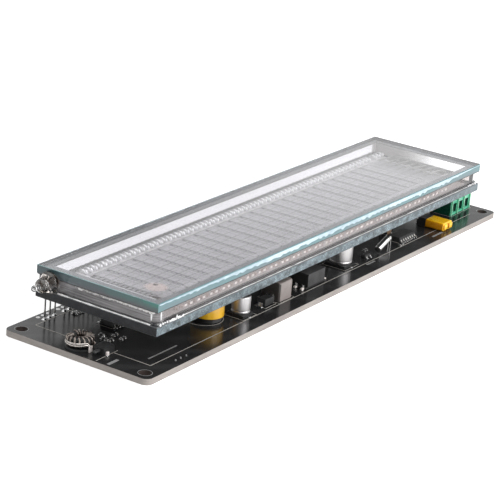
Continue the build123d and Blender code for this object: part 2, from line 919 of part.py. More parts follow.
def diode_leads():
    """The diode's two flat leads."""
    level = TOP + chip_standoff + (diode_height - chip_standoff) / 2
    return end_leads(diode_place, diode_length, level, diode_lead_reach, diode_lead_width, ((0,), (0,)))


def side_leads(place, span, level, reach, width, per_side, pitch):
    """Gull-wing leads along both long sides of a body that lies along X."""
    x, y = placed(place)
    leads = []
    for side, count in zip((-1, 1), per_side):
        face = y + side * span / 2
        foot = face + side * reach
        centre_line = [(face + side * tin_thickness / 2, level),
                       (face + side * reach / 2, TOP + tin_thickness / 2),
                       (foot, TOP + tin_thickness / 2)]
        for index in range(count):
            lead_x = x + (index - (count - 1) / 2) * pitch
            leads.append(bent_strip_yz(centre_line, tin_thickness, lead_x, width))
    return leads


def drafted_body(place, length, width, height):
    """A moulded body with its upper half drawn in."""
    x, y = placed(place)
    z0 = TOP + chip_standoff
    split = (height - chip_standoff) / 2
    lower = block(x - length / 2, x + length / 2, y - width / 2, y + width / 2, z0, z0 + split)
    top = Pos(x, y, z0 + split) * Rectangle(length, width)
    return lower + extrude(top, amount=split, taper=body_draft)


def leadless_body(place, size):
    """A flat square package with its pads underneath."""
    x, y = placed(place)
    half = size / 2
    return block(x - half, x + half, y - half, y + half, TOP, TOP + leadless_body_height)


def transistor_body():
    """The small moulded transistor."""
    return drafted_body(transistor_place, transistor_length, transistor_width, transistor_height)


def transistor_leads():
    """Its three leads, two at the near side and one behind."""
    level = TOP + chip_standoff + (transistor_height - chip_standoff) / 2
    return side_leads(transistor_place, transistor_width, level, transistor_lead_reach,
                      transistor_lead_width, (2, 1), transistor_lead_pitch)


def crystal_axis():
    """The two ends of the leaning crystal's axis."""
    x, y = placed(crystal_tail_place)
    tilt = math.radians(crystal_tilt)
    z = TOP + crystal_tail_clearance + crystal_radius * math.cos(tilt)
    end = (x + crystal_length * math.cos(tilt), y, z + crystal_length * math.sin(tilt))
    return (x, y, z), end


def crystal_can():
    """The drawn metal can of the crystal."""
    start, end = crystal_axis()
    can = round_bar(start, end, crystal_radius)
    return chamfer(can.edges().group_by(Axis.X)[0], crystal_edge)


def crystal_leads():
    """Two wires out of the raised end, bent down to the board."""
    start, end = crystal_axis()
    tilt = math.radians(crystal_tilt)
    leads = []
    for side in (-1, 1):
        y = end[1] + side * crystal_lead_spacing / 2
        knee_x = end[0] + crystal_lead_run * math.cos(tilt)
        knee_z = end[2] + crystal_lead_run * math.sin(tilt)
        points = [(end[0], y, end[2]), (knee_x, y, knee_z), (knee_x, y, TOP)]
        leads.append(swept_wire(points, 2 * crystal_lead_radius))
    return leads


def small_outline_body(place, pins_per_side):
    """A small-outline package."""
    length = pins_per_side * small_outline_pitch
    return drafted_body(place, length, small_outline_body_width, small_outline_body_height)


def small_outline_leads(place, pins_per_side):
    """The leads of a small-outline package."""
    level = TOP + chip_standoff + (small_outline_body_height - chip_standoff) / 2
    return side_leads(place, small_outline_body_width, level, small_outline_lead_reach,
                      small_outline_lead_width, (pins_per_side, pins_per_side), small_outline_pitch)


def chip_ends(place, length, width, height, along):
    """The two plated ends of a chip part."""
    x, y = placed(place)
    ends = []
    for side in (-1, 1):
        a, b = sorted((side * length / 2, side * (length / 2 - chip_end_length)))
        if along:
            ends.append(block(x + a, x + b, y - width / 2, y + width / 2, TOP, TOP + height))
        else:
            ends.append(block(x - width / 2, x + width / 2, y + a, y + b, TOP, TOP + height))
    return ends


def chip_middle(place, length, width, height, along):
    """The ceramic body of a chip part, between its plated ends."""
    x, y = placed(place)
    half = length / 2 - chip_end_length
    if along:
        return block(x - half, x + half, y - width / 2, y + width / 2, TOP, TOP + height)
    return block(x - width / 2, x + width / 2, y - half, y + half, TOP, TOP + height)


def chip_group(builder):
    """Every small chip part, made by one builder."""
    made = []
    for places, along in ((chips_along, True), (chips_across, False)):
        for place in places:
            made.append(builder(place, chip_length, chip_width, chip_height, along))
    return made


def array_frame():
    """Middle of the resistor array, which lies beside the row of leads."""
    y = LEG_Y - solder_foot_width / 2 - array_from_leads - array_width / 2
    return LEFT + array_from_left, y


def array_terminals():
    """Plated terminals along both sides of the resistor array."""
    x, y = array_frame()
    pitch = array_length / array_terminals_per_side
    terminals = []
    for index in range(array_terminals_per_side):
        offset = x + (index - (array_terminals_per_side - 1) / 2) * pitch
        for side in (-1, 1):
            a, b = sorted((y + side * array_width / 2, y + side * (array_width / 2 - chip_end_length)))
            terminals.append(block(offset - pitch / 4, offset + pitch / 4, a, b, TOP, TOP + array_height))
    return terminals


def array_body():
    """The resistor array between its terminals."""
    x, y = array_frame()
    half = array_width / 2 - chip_end_length
    return block(x - array_length / 2, x + array_length / 2, y - half, y + half, TOP, TOP + array_height)


def jumper_frame():
    """Middle of the jumper in X, its front face and its header pin level."""
    x = RIGHT - jumper_from_right
    y = NEAR + jumper_from_near
    return x, y, TOP + jumper_lift + jumper_height / 2


def header_pin_places():
    """X places of the two header pins."""
    x, _, _ = jumper_frame()
    return [x - header_pitch / 2, x + header_pitch / 2]


def jumper_cap():
    """The removable cap: two rounded barrels side by side, open at the front and bored behind."""
    x, y, level = jumper_frame()
    outline = Plane.XZ * Pos(x, level) * RectangleRounded(jumper_width, jumper_height, jumper_corner_radius)
    cap = extrude(Pos(0, y, 0) * outline, amount=-jumper_depth)
    half_slot = jumper_slot_width / 2
    cap -= block(x - half_slot, x + half_slot, y - 1, y + jumper_slot_depth,
                 level - jumper_height, level + jumper_height / 4)
    hole = header_pin_width / 2 + header_pin_clearance
    bore_end = y + jumper_depth - header_pin_engagement - jumper_bore_room
    for pin_x in header_pin_places():
        cap -= block(pin_x - hole, pin_x + hole, bore_end, y + jumper_depth + 1,
                     level - hole, level + hole)
    return cap


def header_block():
    """The plastic block of the right-angle header, bored for its pins."""
    x, y, level = jumper_frame()
    y0 = y + jumper_depth + header_block_gap
    body = block(x - header_pitch, x + header_pitch, y0, y0 + header_block_depth,
                 TOP, level + header_pitch / 2)
    half = header_pin_width / 2
    for pin_x in header_pin_places():
        body -= block(pin_x - half, pin_x + half, y0 - 1, y0 + header_block_depth + 1,
                      level - half, level + half)
    return body


def header_pins():
    """The two square pins: forward into the cap, back out of the block and down to the board."""
    _, y, level = jumper_frame()
    front = y + jumper_depth - header_pin_engagement
    knee = y + jumper_depth + header_block_gap + header_block_depth + header_pin_width
    centre_line = [(front, level), (knee, level), (knee, TOP)]
    return [bent_strip_yz(centre_line, header_pin_width, x, header_pin_width)
            for x in header_pin_places()]


def terminal_frame():
    """Left end, near face and length of the terminal block."""
    length = terminal_poles * terminal_pitch + 2 * terminal_end_wall
    return RIGHT - terminal_from_right - length, NEAR + terminal_from_near, length


def terminal_pole_places():
    """X of the middle of each pole."""
    x, _, _ = terminal_frame()
    return [x + terminal_end_wall + (index + 0.5) * terminal_pitch for index in range(terminal_poles)]


def terminal_well_y():
    """Y of the screw wells."""
    _, y, _ = terminal_frame()
    return y + terminal_opening_depth / 2 + terminal_well_setback


def terminal_block():
    """The housing: a stepped section with a wire opening and a screw well at each pole."""
    x, y, length = terminal_frame()
    top = TOP + terminal_height
    back = y + terminal_depth
    section = [(y, TOP), (y, top - terminal_shoulder), (y + terminal_shoulder, top),
               (back - terminal_back_edge, top), (back, top - terminal_back_edge), (back, TOP)]
    face = Face(Wire.make_polygon([Vector(x, a, b) for a, b in section]))
    housing = extrude(face, amount=length, dir=(1, 0, 0))
    half = terminal_opening_width / 2
    low = TOP + terminal_opening_lift
    for pole in terminal_pole_places():
        housing -= block(pole - half, pole + half, y - 1, y + terminal_opening_depth,
                         low, low + terminal_opening_height)
        well = RegularPolygon(terminal_well_radius, terminal_round_sides)
        housing -= Pos(pole, terminal_well_y(), 0) * prism(well, low + terminal_opening_height / 2,
                                                           terminal_height)
    return housing


def terminal_clamps():
    """The metal cage in each wire opening."""
    _, y, _ = terminal_frame()
    gap = terminal_clamp_clearance
    half = terminal_opening_width / 2 - gap
    low = TOP + terminal_opening_lift
    high = low + terminal_opening_height - gap
    wall = terminal_clamp_wall
    clamps = []
    for pole in terminal_pole_places():
        cage = block(pole - half, pole + half, y + terminal_clamp_setback, y + terminal_opening_depth,
                     low, high)
        cage -= block(pole - half + wall, pole + half - wall, y - 1, y + terminal_opening_depth + 1,
                      low + wall, high - wall)
        clamps.append(cage)
    return clamps


def terminal_screws():
    """The slotted clamp screws, each seated on its cage."""
    top = TOP + terminal_opening_lift + terminal_opening_height - terminal_clamp_clearance
    screws = []
    outline = RegularPolygon(terminal_screw_radius, terminal_round_sides)
    for pole in terminal_pole_places():
        screw = Pos(pole, terminal_well_y(), 0) * prism(outline, top, terminal_screw_height)
        screw -= block(pole - terminal_slot_width / 2, pole + terminal_slot_width / 2,
                       terminal_well_y() - 2, terminal_well_y() + 2,
                       top + terminal_screw_height - terminal_slot_depth,
                       top + terminal_screw_height + 1)
        screws.append(screw)
    return screws


def build_nodes():
    """Every node of the model, by name."""
    return {
        "circuit_board": circuit_board(),
        "base_glass": glass_plate(GLASS_BOTTOM, base_glass_thickness),
        "cover_glass": glass_plate(COVER_BOTTOM, cover_glass_thickness),
        "side_wall_frame": side_wall_frame(),
        "lower_frit_seal": lower_frit_seal(),
        "upper_frit_seal": frit_ring(WALL_TOP, upper_frit_thickness),
        "exhaust_tube": exhaust_tube(),
        "lead_frame": lead_frame(),
        "lead_solder_joints": solder_joints(),
        "anode_plate": anode_plate(),
        "control_grids": control_grids(),
        "filaments": filaments(),
        "filament_anchor": filament_anchor(),
        "filament_springs": filament_springs(),
        "getter_ring": getter_ring(),
        "menu_switch_body": menu_switch_body(),
        "menu_switch_dome": menu_switch_dome(),
        "menu_switch_pins": menu_switch_pins(),
        "menu_plunger": menu_plunger(),
        "toroid_base": toroid_base(),
        "toroid_core": toroid_core(),
        "toroid_winding": toroid_winding(),
        "toroid_clips": toroid_clips(),
        "drum_core": drum_core(),
        "drum_winding": drum_winding(),
        "drum_tape": drum_tape(),
        "drum_pins": drum_pins(),
        "small_capacitor_can": capacitor_can(
            small_capacitor_place, small_capacitor_radius, small_capacitor_height),
        "small_capacitor_base": capacitor_base(small_capacitor_place, small_capacitor_radius),
        "large_capacitor_can": capacitor_can(
            large_capacitor_place, large_capacitor_radius, large_capacitor_height),
        "large_capacitor_base": capacitor_base(large_capacitor_place, large_capacitor_radius),
        "capacitor_tabs": capacitor_tabs(small_capacitor_place, small_capacitor_radius)
        + capacitor_tabs(large_capacitor_place, large_capacitor_radius),
        "choke_body": choke_body(),
        "choke_tabs": choke_tabs(),
        "transformer_core": transformer_core(),
        "transformer_coil": transformer_coil(),
        "transformer_deck": transformer_deck(),
        "transformer_pins": transformer_pins(),
        "diode_body": diode_body(),
        "diode_leads": diode_leads(),
        "transistor_body": transistor_body(),
        "transistor_leads": transistor_leads(),
        "crystal_can": crystal_can(),
        "crystal_leads": crystal_leads(),
        "logic_chip": small_outline_body(logic_chip_place, logic_chip_pins_per_side),
        "amplifier_chip": small_outline_body(amplifier_chip_place, amplifier_chip_pins_per_side),
        "small_outline_leads": small_outline_leads(logic_chip_place, logic_chip_pins_per_side)
        + small_outline_leads(amplifier_chip_place, amplifier_chip_pins_per_side),
        "controller_chip": leadless_body(controller_place, controller_size),
        "driver_chips": [leadless_body(place, driver_size) for place in driver_places],
        "ceramic_capacitor": chip_middle(
            ceramic_place, ceramic_length, ceramic_width, ceramic_height, True),
        "chip_bodies": chip_group(chip_middle) + [array_body()],
        "chip_terminals": [end for ends in chip_group(chip_ends) for end in ends] + array_terminals()
        + chip_ends(ceramic_place, ceramic_length, ceramic_width, ceramic_height, True),
        "jumper_cap": jumper_cap(),
        "header_block": header_block(),
        "header_pins": header_pins(),
        "terminal_block": terminal_block(),
        "terminal_clamps": terminal_clamps(),
        "terminal_screws": terminal_screws(),
    }


def solids_of(shape):
    """The separate solids of a shape or a list of shapes."""
    parts = shape if isinstance(shape, list) else [shape]
    return [solid for part in parts for solid in part.solids()]


def main():
    """Build every node and write it to the parts folder."""
    os.makedirs("parts", exist_ok=True)
    for name, shape in build_nodes().items():
        solids = solids_of(shape)
        node = solids[0] if len(solids) == 1 else Compound(children=solids)
        node.label = name
        export_step(node, os.path.join("parts", name + ".step"))
        print(name, len(solids))


main()
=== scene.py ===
"""Looks of a flat glass vacuum display of bar columns, carried on its leads over a circuit board.

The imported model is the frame. Lengths are metres, and the fields of the sub-assemblies are
millimetres. A place is measured from the board's left and near edges, and a level from its underside.
"""
import logging
import math
from dataclasses import dataclass
from enum import Enum

import bmesh
import bpy
from mathutils import Matrix, Vector, noise


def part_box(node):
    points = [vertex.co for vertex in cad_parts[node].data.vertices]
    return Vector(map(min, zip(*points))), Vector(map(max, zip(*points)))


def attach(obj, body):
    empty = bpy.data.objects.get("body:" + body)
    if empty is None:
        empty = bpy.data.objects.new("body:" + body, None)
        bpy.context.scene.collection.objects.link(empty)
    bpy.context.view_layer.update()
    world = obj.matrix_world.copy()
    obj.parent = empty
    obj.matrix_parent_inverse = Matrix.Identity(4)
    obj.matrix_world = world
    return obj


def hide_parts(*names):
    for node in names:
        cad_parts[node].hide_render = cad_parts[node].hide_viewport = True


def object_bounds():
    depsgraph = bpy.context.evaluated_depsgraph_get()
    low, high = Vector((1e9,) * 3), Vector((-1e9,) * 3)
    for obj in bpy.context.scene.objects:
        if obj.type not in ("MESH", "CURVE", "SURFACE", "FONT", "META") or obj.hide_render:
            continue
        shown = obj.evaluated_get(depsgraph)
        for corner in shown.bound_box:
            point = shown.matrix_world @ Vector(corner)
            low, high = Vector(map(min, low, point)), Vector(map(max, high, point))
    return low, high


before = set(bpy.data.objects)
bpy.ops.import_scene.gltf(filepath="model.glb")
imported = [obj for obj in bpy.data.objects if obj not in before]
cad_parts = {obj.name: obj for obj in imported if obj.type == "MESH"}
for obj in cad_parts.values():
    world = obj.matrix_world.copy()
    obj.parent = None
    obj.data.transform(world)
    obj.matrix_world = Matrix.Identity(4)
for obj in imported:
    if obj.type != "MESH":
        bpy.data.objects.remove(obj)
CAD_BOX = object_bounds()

LOG = logging.getLogger("display")
MM = 0.001
BOARD_LOW, BOARD_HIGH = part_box("circuit_board")
Box = tuple[Vector, Vector]
Tree = bpy.types.NodeTree
Socket = bpy.types.NodeSocket
Outputs = bpy.types.NodeOutputs
UP = Vector((0, 0, 1))
Pair = tuple[float, float]
Triple = tuple[float, float, float]
Colour = Triple
Places = tuple[Pair, ...]
EVEN: Triple = (1.0, 1.0, 1.0)
WHITE: Colour = (1.0, 1.0, 1.0)
GLASS_IOR = 1.5
BROAD_SHARE = 0.13
QUARTER_STEP = 22.5


class Body(Enum):
    """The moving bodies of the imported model."""

    DISPLAY = "display"
    BUTTON = "menu_button"


class Side(Enum):
    """The long sides of the glass."""

    NEAR = -1
    BACK = 1


def mm(value: float) -> float:
    """Turn millimetres into metres."""
    return value * MM


def rim(radius: float, height: float, edge: float) -> list[Pair]:
    """Give the points that round the upper rim of a turned piece, in metres."""
    turns = (math.radians(QUARTER_STEP * step) for step in range(1, 5))
    return [(radius - edge + edge * math.cos(turn), height - edge + edge * math.sin(turn)) for turn in turns]


def scaled(pairs: Places | list[Pair]) -> list[Pair]:
    """Turn pairs of millimetres, such as the points of a profile, into metres."""
    return [(mm(first), mm(second)) for first, second in pairs]


def at(along: float, across: float, level: float) -> Vector:
    """Give a place from millimetres.

    Args:
        along: Distance from the board's left edge.
        across: Distance from the board's near edge.
        level: Height over the board's underside.

    Returns:
        The place in metres.
    """
    return Vector((BOARD_LOW.x + mm(along), BOARD_LOW.y + mm(across), BOARD_LOW.z + mm(level)))


def show(name: str, data: bpy.types.ID) -> bpy.types.Object:
    """Put a new object into the scene."""
    made = bpy.data.objects.new(name, data)
    bpy.context.scene.collection.objects.link(made)
    return made


def foot_of(low: Vector, high: Vector) -> Vector:
    """Give the middle of the lower face of a box."""
    return Vector(((low.x + high.x) / 2, (low.y + high.y) / 2, low.z))


def solid_boxes(node: str) -> list[Box]:
    """Find the lowest and highest corner of each separate solid in a node.

    Args:
        node: Name of the node.

    Returns:
        One pair of corners for each solid, in order of X and then Y.
    """
    mesh = bmesh.new()
    mesh.from_mesh(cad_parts[node].data)
    bmesh.ops.remove_doubles(mesh, verts=mesh.verts, dist=1e-6)
    mesh.verts.index_update()
    seen: set[int] = set()
    boxes = []
    for start in mesh.verts:
        if start.index in seen:
            continue
        seen.add(start.index)
        waiting, group = [start], []
        while waiting:
            vert = waiting.pop()
            group.append(vert.co.copy())
            for edge in vert.link_edges:
                other = edge.other_vert(vert)
                if other.index not in seen:
                    seen.add(other.index)
                    waiting.append(other)
        low = Vector(min(place[axis] for place in group) for axis in range(3))
        high = Vector(max(place[axis] for place in group) for axis in range(3))
        boxes.append((low, high))
    mesh.free()
    return sorted(boxes, key=lambda box: (round(box[0].x, 6), round(box[0].y, 6)))


def rounded(points: list[Vector], radius: float, steps: int = 4) -> list[Vector]:
    """Round the corners of a path.

    Args:
        points: Corners of the path.
        radius: Length cut back on each side of a corner, at most.
        steps: Number of runs that replace a corner.

    Returns:
        The points of the rounded path.
    """
    path = [points[0]]
    for before, corner, after in zip(points, points[1:], points[2:]):
        cut = min(radius, (corner - before).length / 2, (after - corner).length / 2)
        start = corner + (before - corner).normalized() * cut
        end = corner + (after - corner).normalized() * cut
        for step in range(steps + 1):
            share = step / steps
            path.append(start.lerp(corner, share).lerp(corner.lerp(end, share), share))
    path.append(points[-1])
    return path


class Form:
    """A piece while mesh operators shape it."""

    def __init__(self, name: str) -> None:
        """Start an empty piece."""
        self.name = name
        self.mesh = bmesh.new()

    def _dress(self, verts: list[bmesh.types.BMVert], finish: int) -> None:
        """Give a finish number to the faces around some vertices."""
        for vert in verts:
            for face in vert.link_faces:
                face.material_index = finish

    def _bevel(self, edges: list[bmesh.types.BMEdge], width: float, segments: int) -> None:
        """Round some edges."""
        bmesh.ops.bevel(self.mesh, geom=edges, offset=width, offset_type="OFFSET", segments=segments,
                        profile=0.5, affect="EDGES", clamp_overlap=True, material=-1)

    def box(self, low: Vector, high: Vector, edge: float = 0.0, segments: int = 2) -> None:
        """Add a block, with its edges rounded.

        Args:
            low: Lowest corner.
            high: Highest corner.
            edge: Width of the rounded edges, none if zero.
            segments: Runs across a rounded edge.
        """
        place = Matrix.LocRotScale((low + high) / 2, None, high - low)
        verts = bmesh.ops.create_cube(self.mesh, size=1.0, matrix=place)["verts"]
        if edge:
            self._bevel(list({item for vert in verts for item in vert.link_edges}), edge, segments)

    def thicken(self, faces: list[bmesh.types.BMFace], rise: Vector) -> None:
        """Extrude some faces along a vector."""
        made = bmesh.ops.extrude_face_region(self.mesh, geom=faces)["geom"]
        moved = [item for item in made if isinstance(item, bmesh.types.BMVert)]
        bmesh.ops.translate(self.mesh, verts=moved, vec=rise)

    def prism(self, outline: list[Vector], rise: Vector) -> None:
        """Add a flat outline extruded along a vector."""
        self.thicken([self.mesh.faces.new([self.mesh.verts.new(point) for point in outline])], rise)

    def frame(self, low: Vector, high: Vector, side: Vector) -> None:
        """Add a flat rectangular frame.

        Args:
            low: Lowest corner.
            high: Highest corner.
            side: Width of the frame's bars along X and along Y.
        """
        middle, half = (low + high) / 2, (high - low) / 2
        verts = bmesh.ops.create_grid(self.mesh, x_segments=3, y_segments=3, size=1.0)["verts"]
        faces = {face for vert in verts for face in vert.link_faces}
        hole = [face for face in faces if face.calc_center_median().length < 0.1]
        bmesh.ops.delete(self.mesh, geom=hole, context="FACES_ONLY")
        for vert in verts:
            for axis in (0, 1):
                reach = half[axis] - (side[axis] if abs(vert.co[axis]) < 0.5 else 0.0)
                vert.co[axis] = middle[axis] + math.copysign(reach, vert.co[axis])
            vert.co.z = low.z
        self.thicken(list(faces - set(hole)), Vector((0, 0, high.z - low.z)))

    def lathe(self, profile: list[Pair], origin: Vector, steps: int = 48,
              axis: Vector = UP, closed: bool = False, finish: int = 0) -> None:
        """Turn a profile round an axis.

        Args:
            profile: Radius and height of each point, in metres.
            origin: Foot of the axis.
            steps: Number of faces round the turn.
            axis: Direction of the axis.
            closed: Whether the profile's last point joins its first.
            finish: Number of the finish.
        """
        start = len(self.mesh.verts)
        place = Matrix.Translation(origin) @ axis.to_track_quat("Z", "Y").to_matrix().to_4x4()
        verts = [self.mesh.verts.new(place @ Vector((radius, 0, height))) for radius, height in profile]
        pairs = list(zip(verts, verts[1:])) + ([(verts[-1], verts[0])] if closed else [])
        edges = [self.mesh.edges.new(pair) for pair in pairs]
        bmesh.ops.spin(self.mesh, geom=verts + edges, cent=origin, axis=axis, angle=2 * math.pi,
                       steps=steps, use_merge=True)
        self.mesh.verts.ensure_lookup_table()
        made = self.mesh.verts[start:]
        self._dress(made, finish)
        bmesh.ops.remove_doubles(self.mesh, verts=made, dist=1e-7)

    def sweep(self, path: list[Vector], sizes: list[Pair], sides: int = 8,
              across: Vector = Vector((1, 0, 0)), finish: int = 0) -> None:
        """Draw a closed section along a path.

        Args:
            path: Points of the path.
            sizes: Width and height of the section, one pair or one for each point.
            sides: Sides of the section, and a rectangle where it is four.
            across: Direction of the section's width at the start.
            finish: Number of the finish.
        """
        sizes = sizes * len(path) if len(sizes) == 1 else sizes
        reach = 1 / math.cos(math.pi / sides) if sides == 4 else 1.0
        turned = Matrix.Rotation(math.pi / sides, 4, "Z")
        places = []
        for index, point in enumerate(path):
            before, after = path[max(index - 1, 0)], path[min(index + 1, len(path) - 1)]
            run = (after - before).normalized()
            across = (across - run * across.dot(run)).normalized()
            basis = Matrix((across, run.cross(across), run)).transposed()
            width, height = sizes[index]
            places.append(Matrix.LocRotScale(point, basis.to_quaternion(), (width / 2, height / 2, 1)))
        verts = bmesh.ops.create_circle(self.mesh, cap_ends=True, radius=reach, segments=sides,
                                        matrix=places[0] @ turned)["verts"]
        self._dress(verts, finish)
        edges = list(verts[0].link_faces[0].edges)
        for before, after in zip(places, places[1:]):
            made = bmesh.ops.extrude_edge_only(self.mesh, edges=edges)["geom"]
            verts = [item for item in made if isinstance(item, bmesh.types.BMVert)]
            bmesh.ops.transform(self.mesh, matrix=after @ before.inverted(), verts=verts)
            edges = [item for item in made if isinstance(item, bmesh.types.BMEdge)
                     and item.verts[0] in verts and item.verts[1] in verts]
            self._dress(verts, finish)
        bmesh.ops.edgeloop_fill(self.mesh, edges=edges, mat_nr=finish)

    def cord(self, path: list[Vector], width: float, across: Vector = UP) -> None:
        """Draw a round cord of one width along a path."""
        self.sweep(path, [(width, width)], across=across)

    def ring(self, inner: float, outer: float, rise: float, foot: Vector, steps: int) -> None:
        """Add a flat ring from its two radii and its thickness."""
        self.lathe([(inner, 0), (outer, 0), (outer, rise), (inner, rise)], foot, steps=steps, closed=True)

    def lump(self, centre: Vector, radius: float, steps: int, foot: float = 0.6) -> None:
        """Add a small rounded lump.

        Args:
            centre: Middle of the lump.
            radius: Half of its width and of its height.
            steps: Number of faces round it.
            foot: Depth of its lower shoulder, as a share of the radius.
        """
        self.lathe([(0, -radius), (radius * 0.8, -radius * foot), (radius, 0), (radius * 0.75, radius * 0.6),
                    (0, radius)], centre, steps=steps)

    def take(self, node: str, edge: float) -> None:
        """Add the solids of a node, joined up and with their sharp edges rounded.

        Args:
            node: Name of the node.
            edge: Width of the rounded edges.
        """
        self.mesh.from_mesh(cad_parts[node].data)
        bmesh.ops.remove_doubles(self.mesh, verts=self.mesh.verts, dist=1e-6)
        bmesh.ops.dissolve_limit(self.mesh, angle_limit=math.radians(1), verts=self.mesh.verts,
                                 edges=self.mesh.edges)
        self._bevel([item for item in self.mesh.edges
                     if item.is_manifold and item.calc_face_angle(0) > math.radians(30)], edge, 2)
        for face in self.mesh.faces:
            face.material_index = 0

    def roughen(self, depth: float, scale: float, seed: float = 0.0) -> None:
        """Push every vertex along its normal by smooth noise.

        Args:
            depth: Largest push.
            scale: Number of waves in a metre.
            seed: Shift of the pattern.
        """
        self.mesh.normal_update()
        shift = Vector((seed, seed * 1.7, seed * 0.6))
        for vert in self.mesh.verts:
            vert.co += vert.normal * depth * noise.noise(vert.co * scale + shift)

    def finish(self, slot: str, finishes: "list[Finish]", body: Body = Body.DISPLAY,
               stands_for: tuple[str, ...] = (), crease: float = 35.0) -> bpy.types.Object:
        """Turn the piece into an object that rides on a body.

        Args:
            slot: Material slot of the record, not used.
            finishes: The finishes, in the order of their numbers.
            body: The body that carries the piece.
            stands_for: Nodes that the piece replaces.
            crease: Angle in degrees past which an edge looks sharp.

        Returns:
            The finished object.
        """
        bmesh.ops.recalc_face_normals(self.mesh, faces=self.mesh.faces)
        limit = math.radians(crease)
        for face in self.mesh.faces:
            face.smooth = True
        for edge in self.mesh.edges:
            edge.smooth = edge.calc_face_angle(math.pi) < limit
        data = bpy.data.meshes.new(self.name)
        self.mesh.to_mesh(data)
        self.mesh.free()
        for finish in finishes:
            data.materials.append(finish.material())
        piece = show(self.name, data)
        even = piece.modifiers.new("even_normals", "WEIGHTED_NORMAL")
        even.keep_sharp, even.weight = True, 100
        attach(piece, body.value)
        if stands_for:
            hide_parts(*stands_for)
        LOG.info("%s: %d faces on %s", self.name, len(data.polygons), body.value)
        return piece


def wire(tree: Tree, kind: str, inputs: dict | None = None, **settings) -> bpy.types.Node:
    """Add a node to a tree.

    Args:
        tree: The tree.
        kind: Type of the node, without its common first part.
        inputs: A value or a socket for each named or numbered input.
        **settings: Properties of the node.

    Returns:
        The new node.
    """
    node = tree.nodes.new(f"ShaderNode{kind}")
    for key, value in settings.items():
        setattr(node, key, value)
    for key, value in (inputs or {}).items():
        if isinstance(value, Socket):
            tree.links.new(value, node.inputs[key])
        else:
            node.inputs[key].default_value = value
    return node


def math_node(tree: Tree, operation: str, *values) -> Socket:
    """Add a math node and give its result."""
    return wire(tree, "Math", dict(enumerate(values)), operation=operation).outputs[0]


def product(tree: Tree, first, second) -> Socket:
    """Multiply two values and give the result."""
    return math_node(tree, "MULTIPLY", first, second)


def larger(tree: Tree, first, second) -> Socket:
    """Give the larger of two values."""
    return math_node(tree, "MAXIMUM", first, second)


def vector_node(tree: Tree, operation: str, *values) -> Socket:
    """Add a vector math node and give its result, a vector or a single value."""
    node = wire(tree, "VectorMath", dict(enumerate(values)), operation=operation)
    return node.outputs["Value" if operation in ("LENGTH", "DOT_PRODUCT") else "Vector"]


def axis_parts(tree: Tree, vector: Socket) -> Outputs:
    """Split a vector into its X, Y and Z."""
    return wire(tree, "SeparateXYZ", {0: vector}).outputs


def blend_node(tree: Tree, share, first, second) -> Socket:
    """Mix two colours by a share and give the result."""
    inputs = {0: share, 6: opaque(first), 7: opaque(second)}
    return wire(tree, "Mix", inputs, data_type="RGBA").outputs[2]


def range_node(tree: Tree, value, low: float, high: float, start: float = 0.0,
               end: float = 1.0) -> Socket:
    """Map a value from one range to another, held at its ends, and give the result."""
    inputs = {0: value, 1: low, 2: high, 3: start, 4: end}
    return wire(tree, "MapRange", inputs, clamp=True).outputs[0]


def fade_node(tree: Tree, share, start: float, end: float) -> Socket:
    """Give a value that goes from a start to an end as a share goes from 0 to 1."""
    return range_node(tree, share, 0, 1, start, end)


def reach_node(tree: Tree, place, reach: Pair,
               share: float = 1.0) -> Socket:
    """Give a share that grows from zero between two places, in millimetres, along an axis."""
    return range_node(tree, place, mm(reach[0]), mm(reach[1]), 0.0, share)


def opaque(colour):
    """Give a plain colour its fourth value, and leave a socket as it is."""
    return colour if isinstance(colour, Socket) else (*colour, 1.0)


def dimmed(colour: Colour, share: float) -> Colour:
    """Give a colour darkened to a share of its light."""
    return tuple(part * share for part in colour)


def shared_group(name: str, inputs: dict[str, tuple[str, object]], outputs: dict[str, str], build):
    """Make a node group once.

    Args:
        name: Name of the group.
        inputs: Socket type and default of each input.
        outputs: Socket type of each output.
        build: Function that takes the tree and its inputs and returns a socket for each output.

    Returns:
        The group.
    """
    tree = bpy.data.node_groups.get(name)
    if tree is not None:
        return tree
    tree = bpy.data.node_groups.new(name, "ShaderNodeTree")
    for key, (kind, default) in inputs.items():
        socket = tree.interface.new_socket(key, in_out="INPUT", socket_type=kind)
        socket.default_value = default
    for key, kind in outputs.items():
        tree.interface.new_socket(key, in_out="OUTPUT", socket_type=kind)
    source = tree.nodes.new("NodeGroupInput")
    results = build(tree, source.outputs)
    sink = tree.nodes.new("NodeGroupOutput")
    for key, socket in results.items():
        tree.links.new(socket, sink.inputs[key])
    return tree


def object_place(tree: Tree) -> Socket:
    """Give the place on the object, in metres."""
    return wire(tree, "TexCoord").outputs["Object"]


def noise_node(tree: Tree, scale: float, detail: float) -> Outputs:
    """Add plain noise over the object and give its outputs."""
    inputs = {"Vector": object_place(tree), "Scale": scale, "Detail": detail}
    return wire(tree, "TexNoise", inputs).outputs


def place_parts(tree: Tree) -> Outputs:
    """Give the X, Y and Z of the place on the object."""
    return axis_parts(tree, object_place(tree))


def stretched_noise(tree, scale, stretch, detail: float = 3.0) -> Socket:
    """Give noise whose pattern is scaled along each axis."""
    place = vector_node(tree, "MULTIPLY", object_place(tree), stretch)
    inputs = {"Vector": place, "Scale": scale, "Detail": detail, "Roughness": 0.6}
    return wire(tree, "TexNoise", inputs).outputs["Fac"]


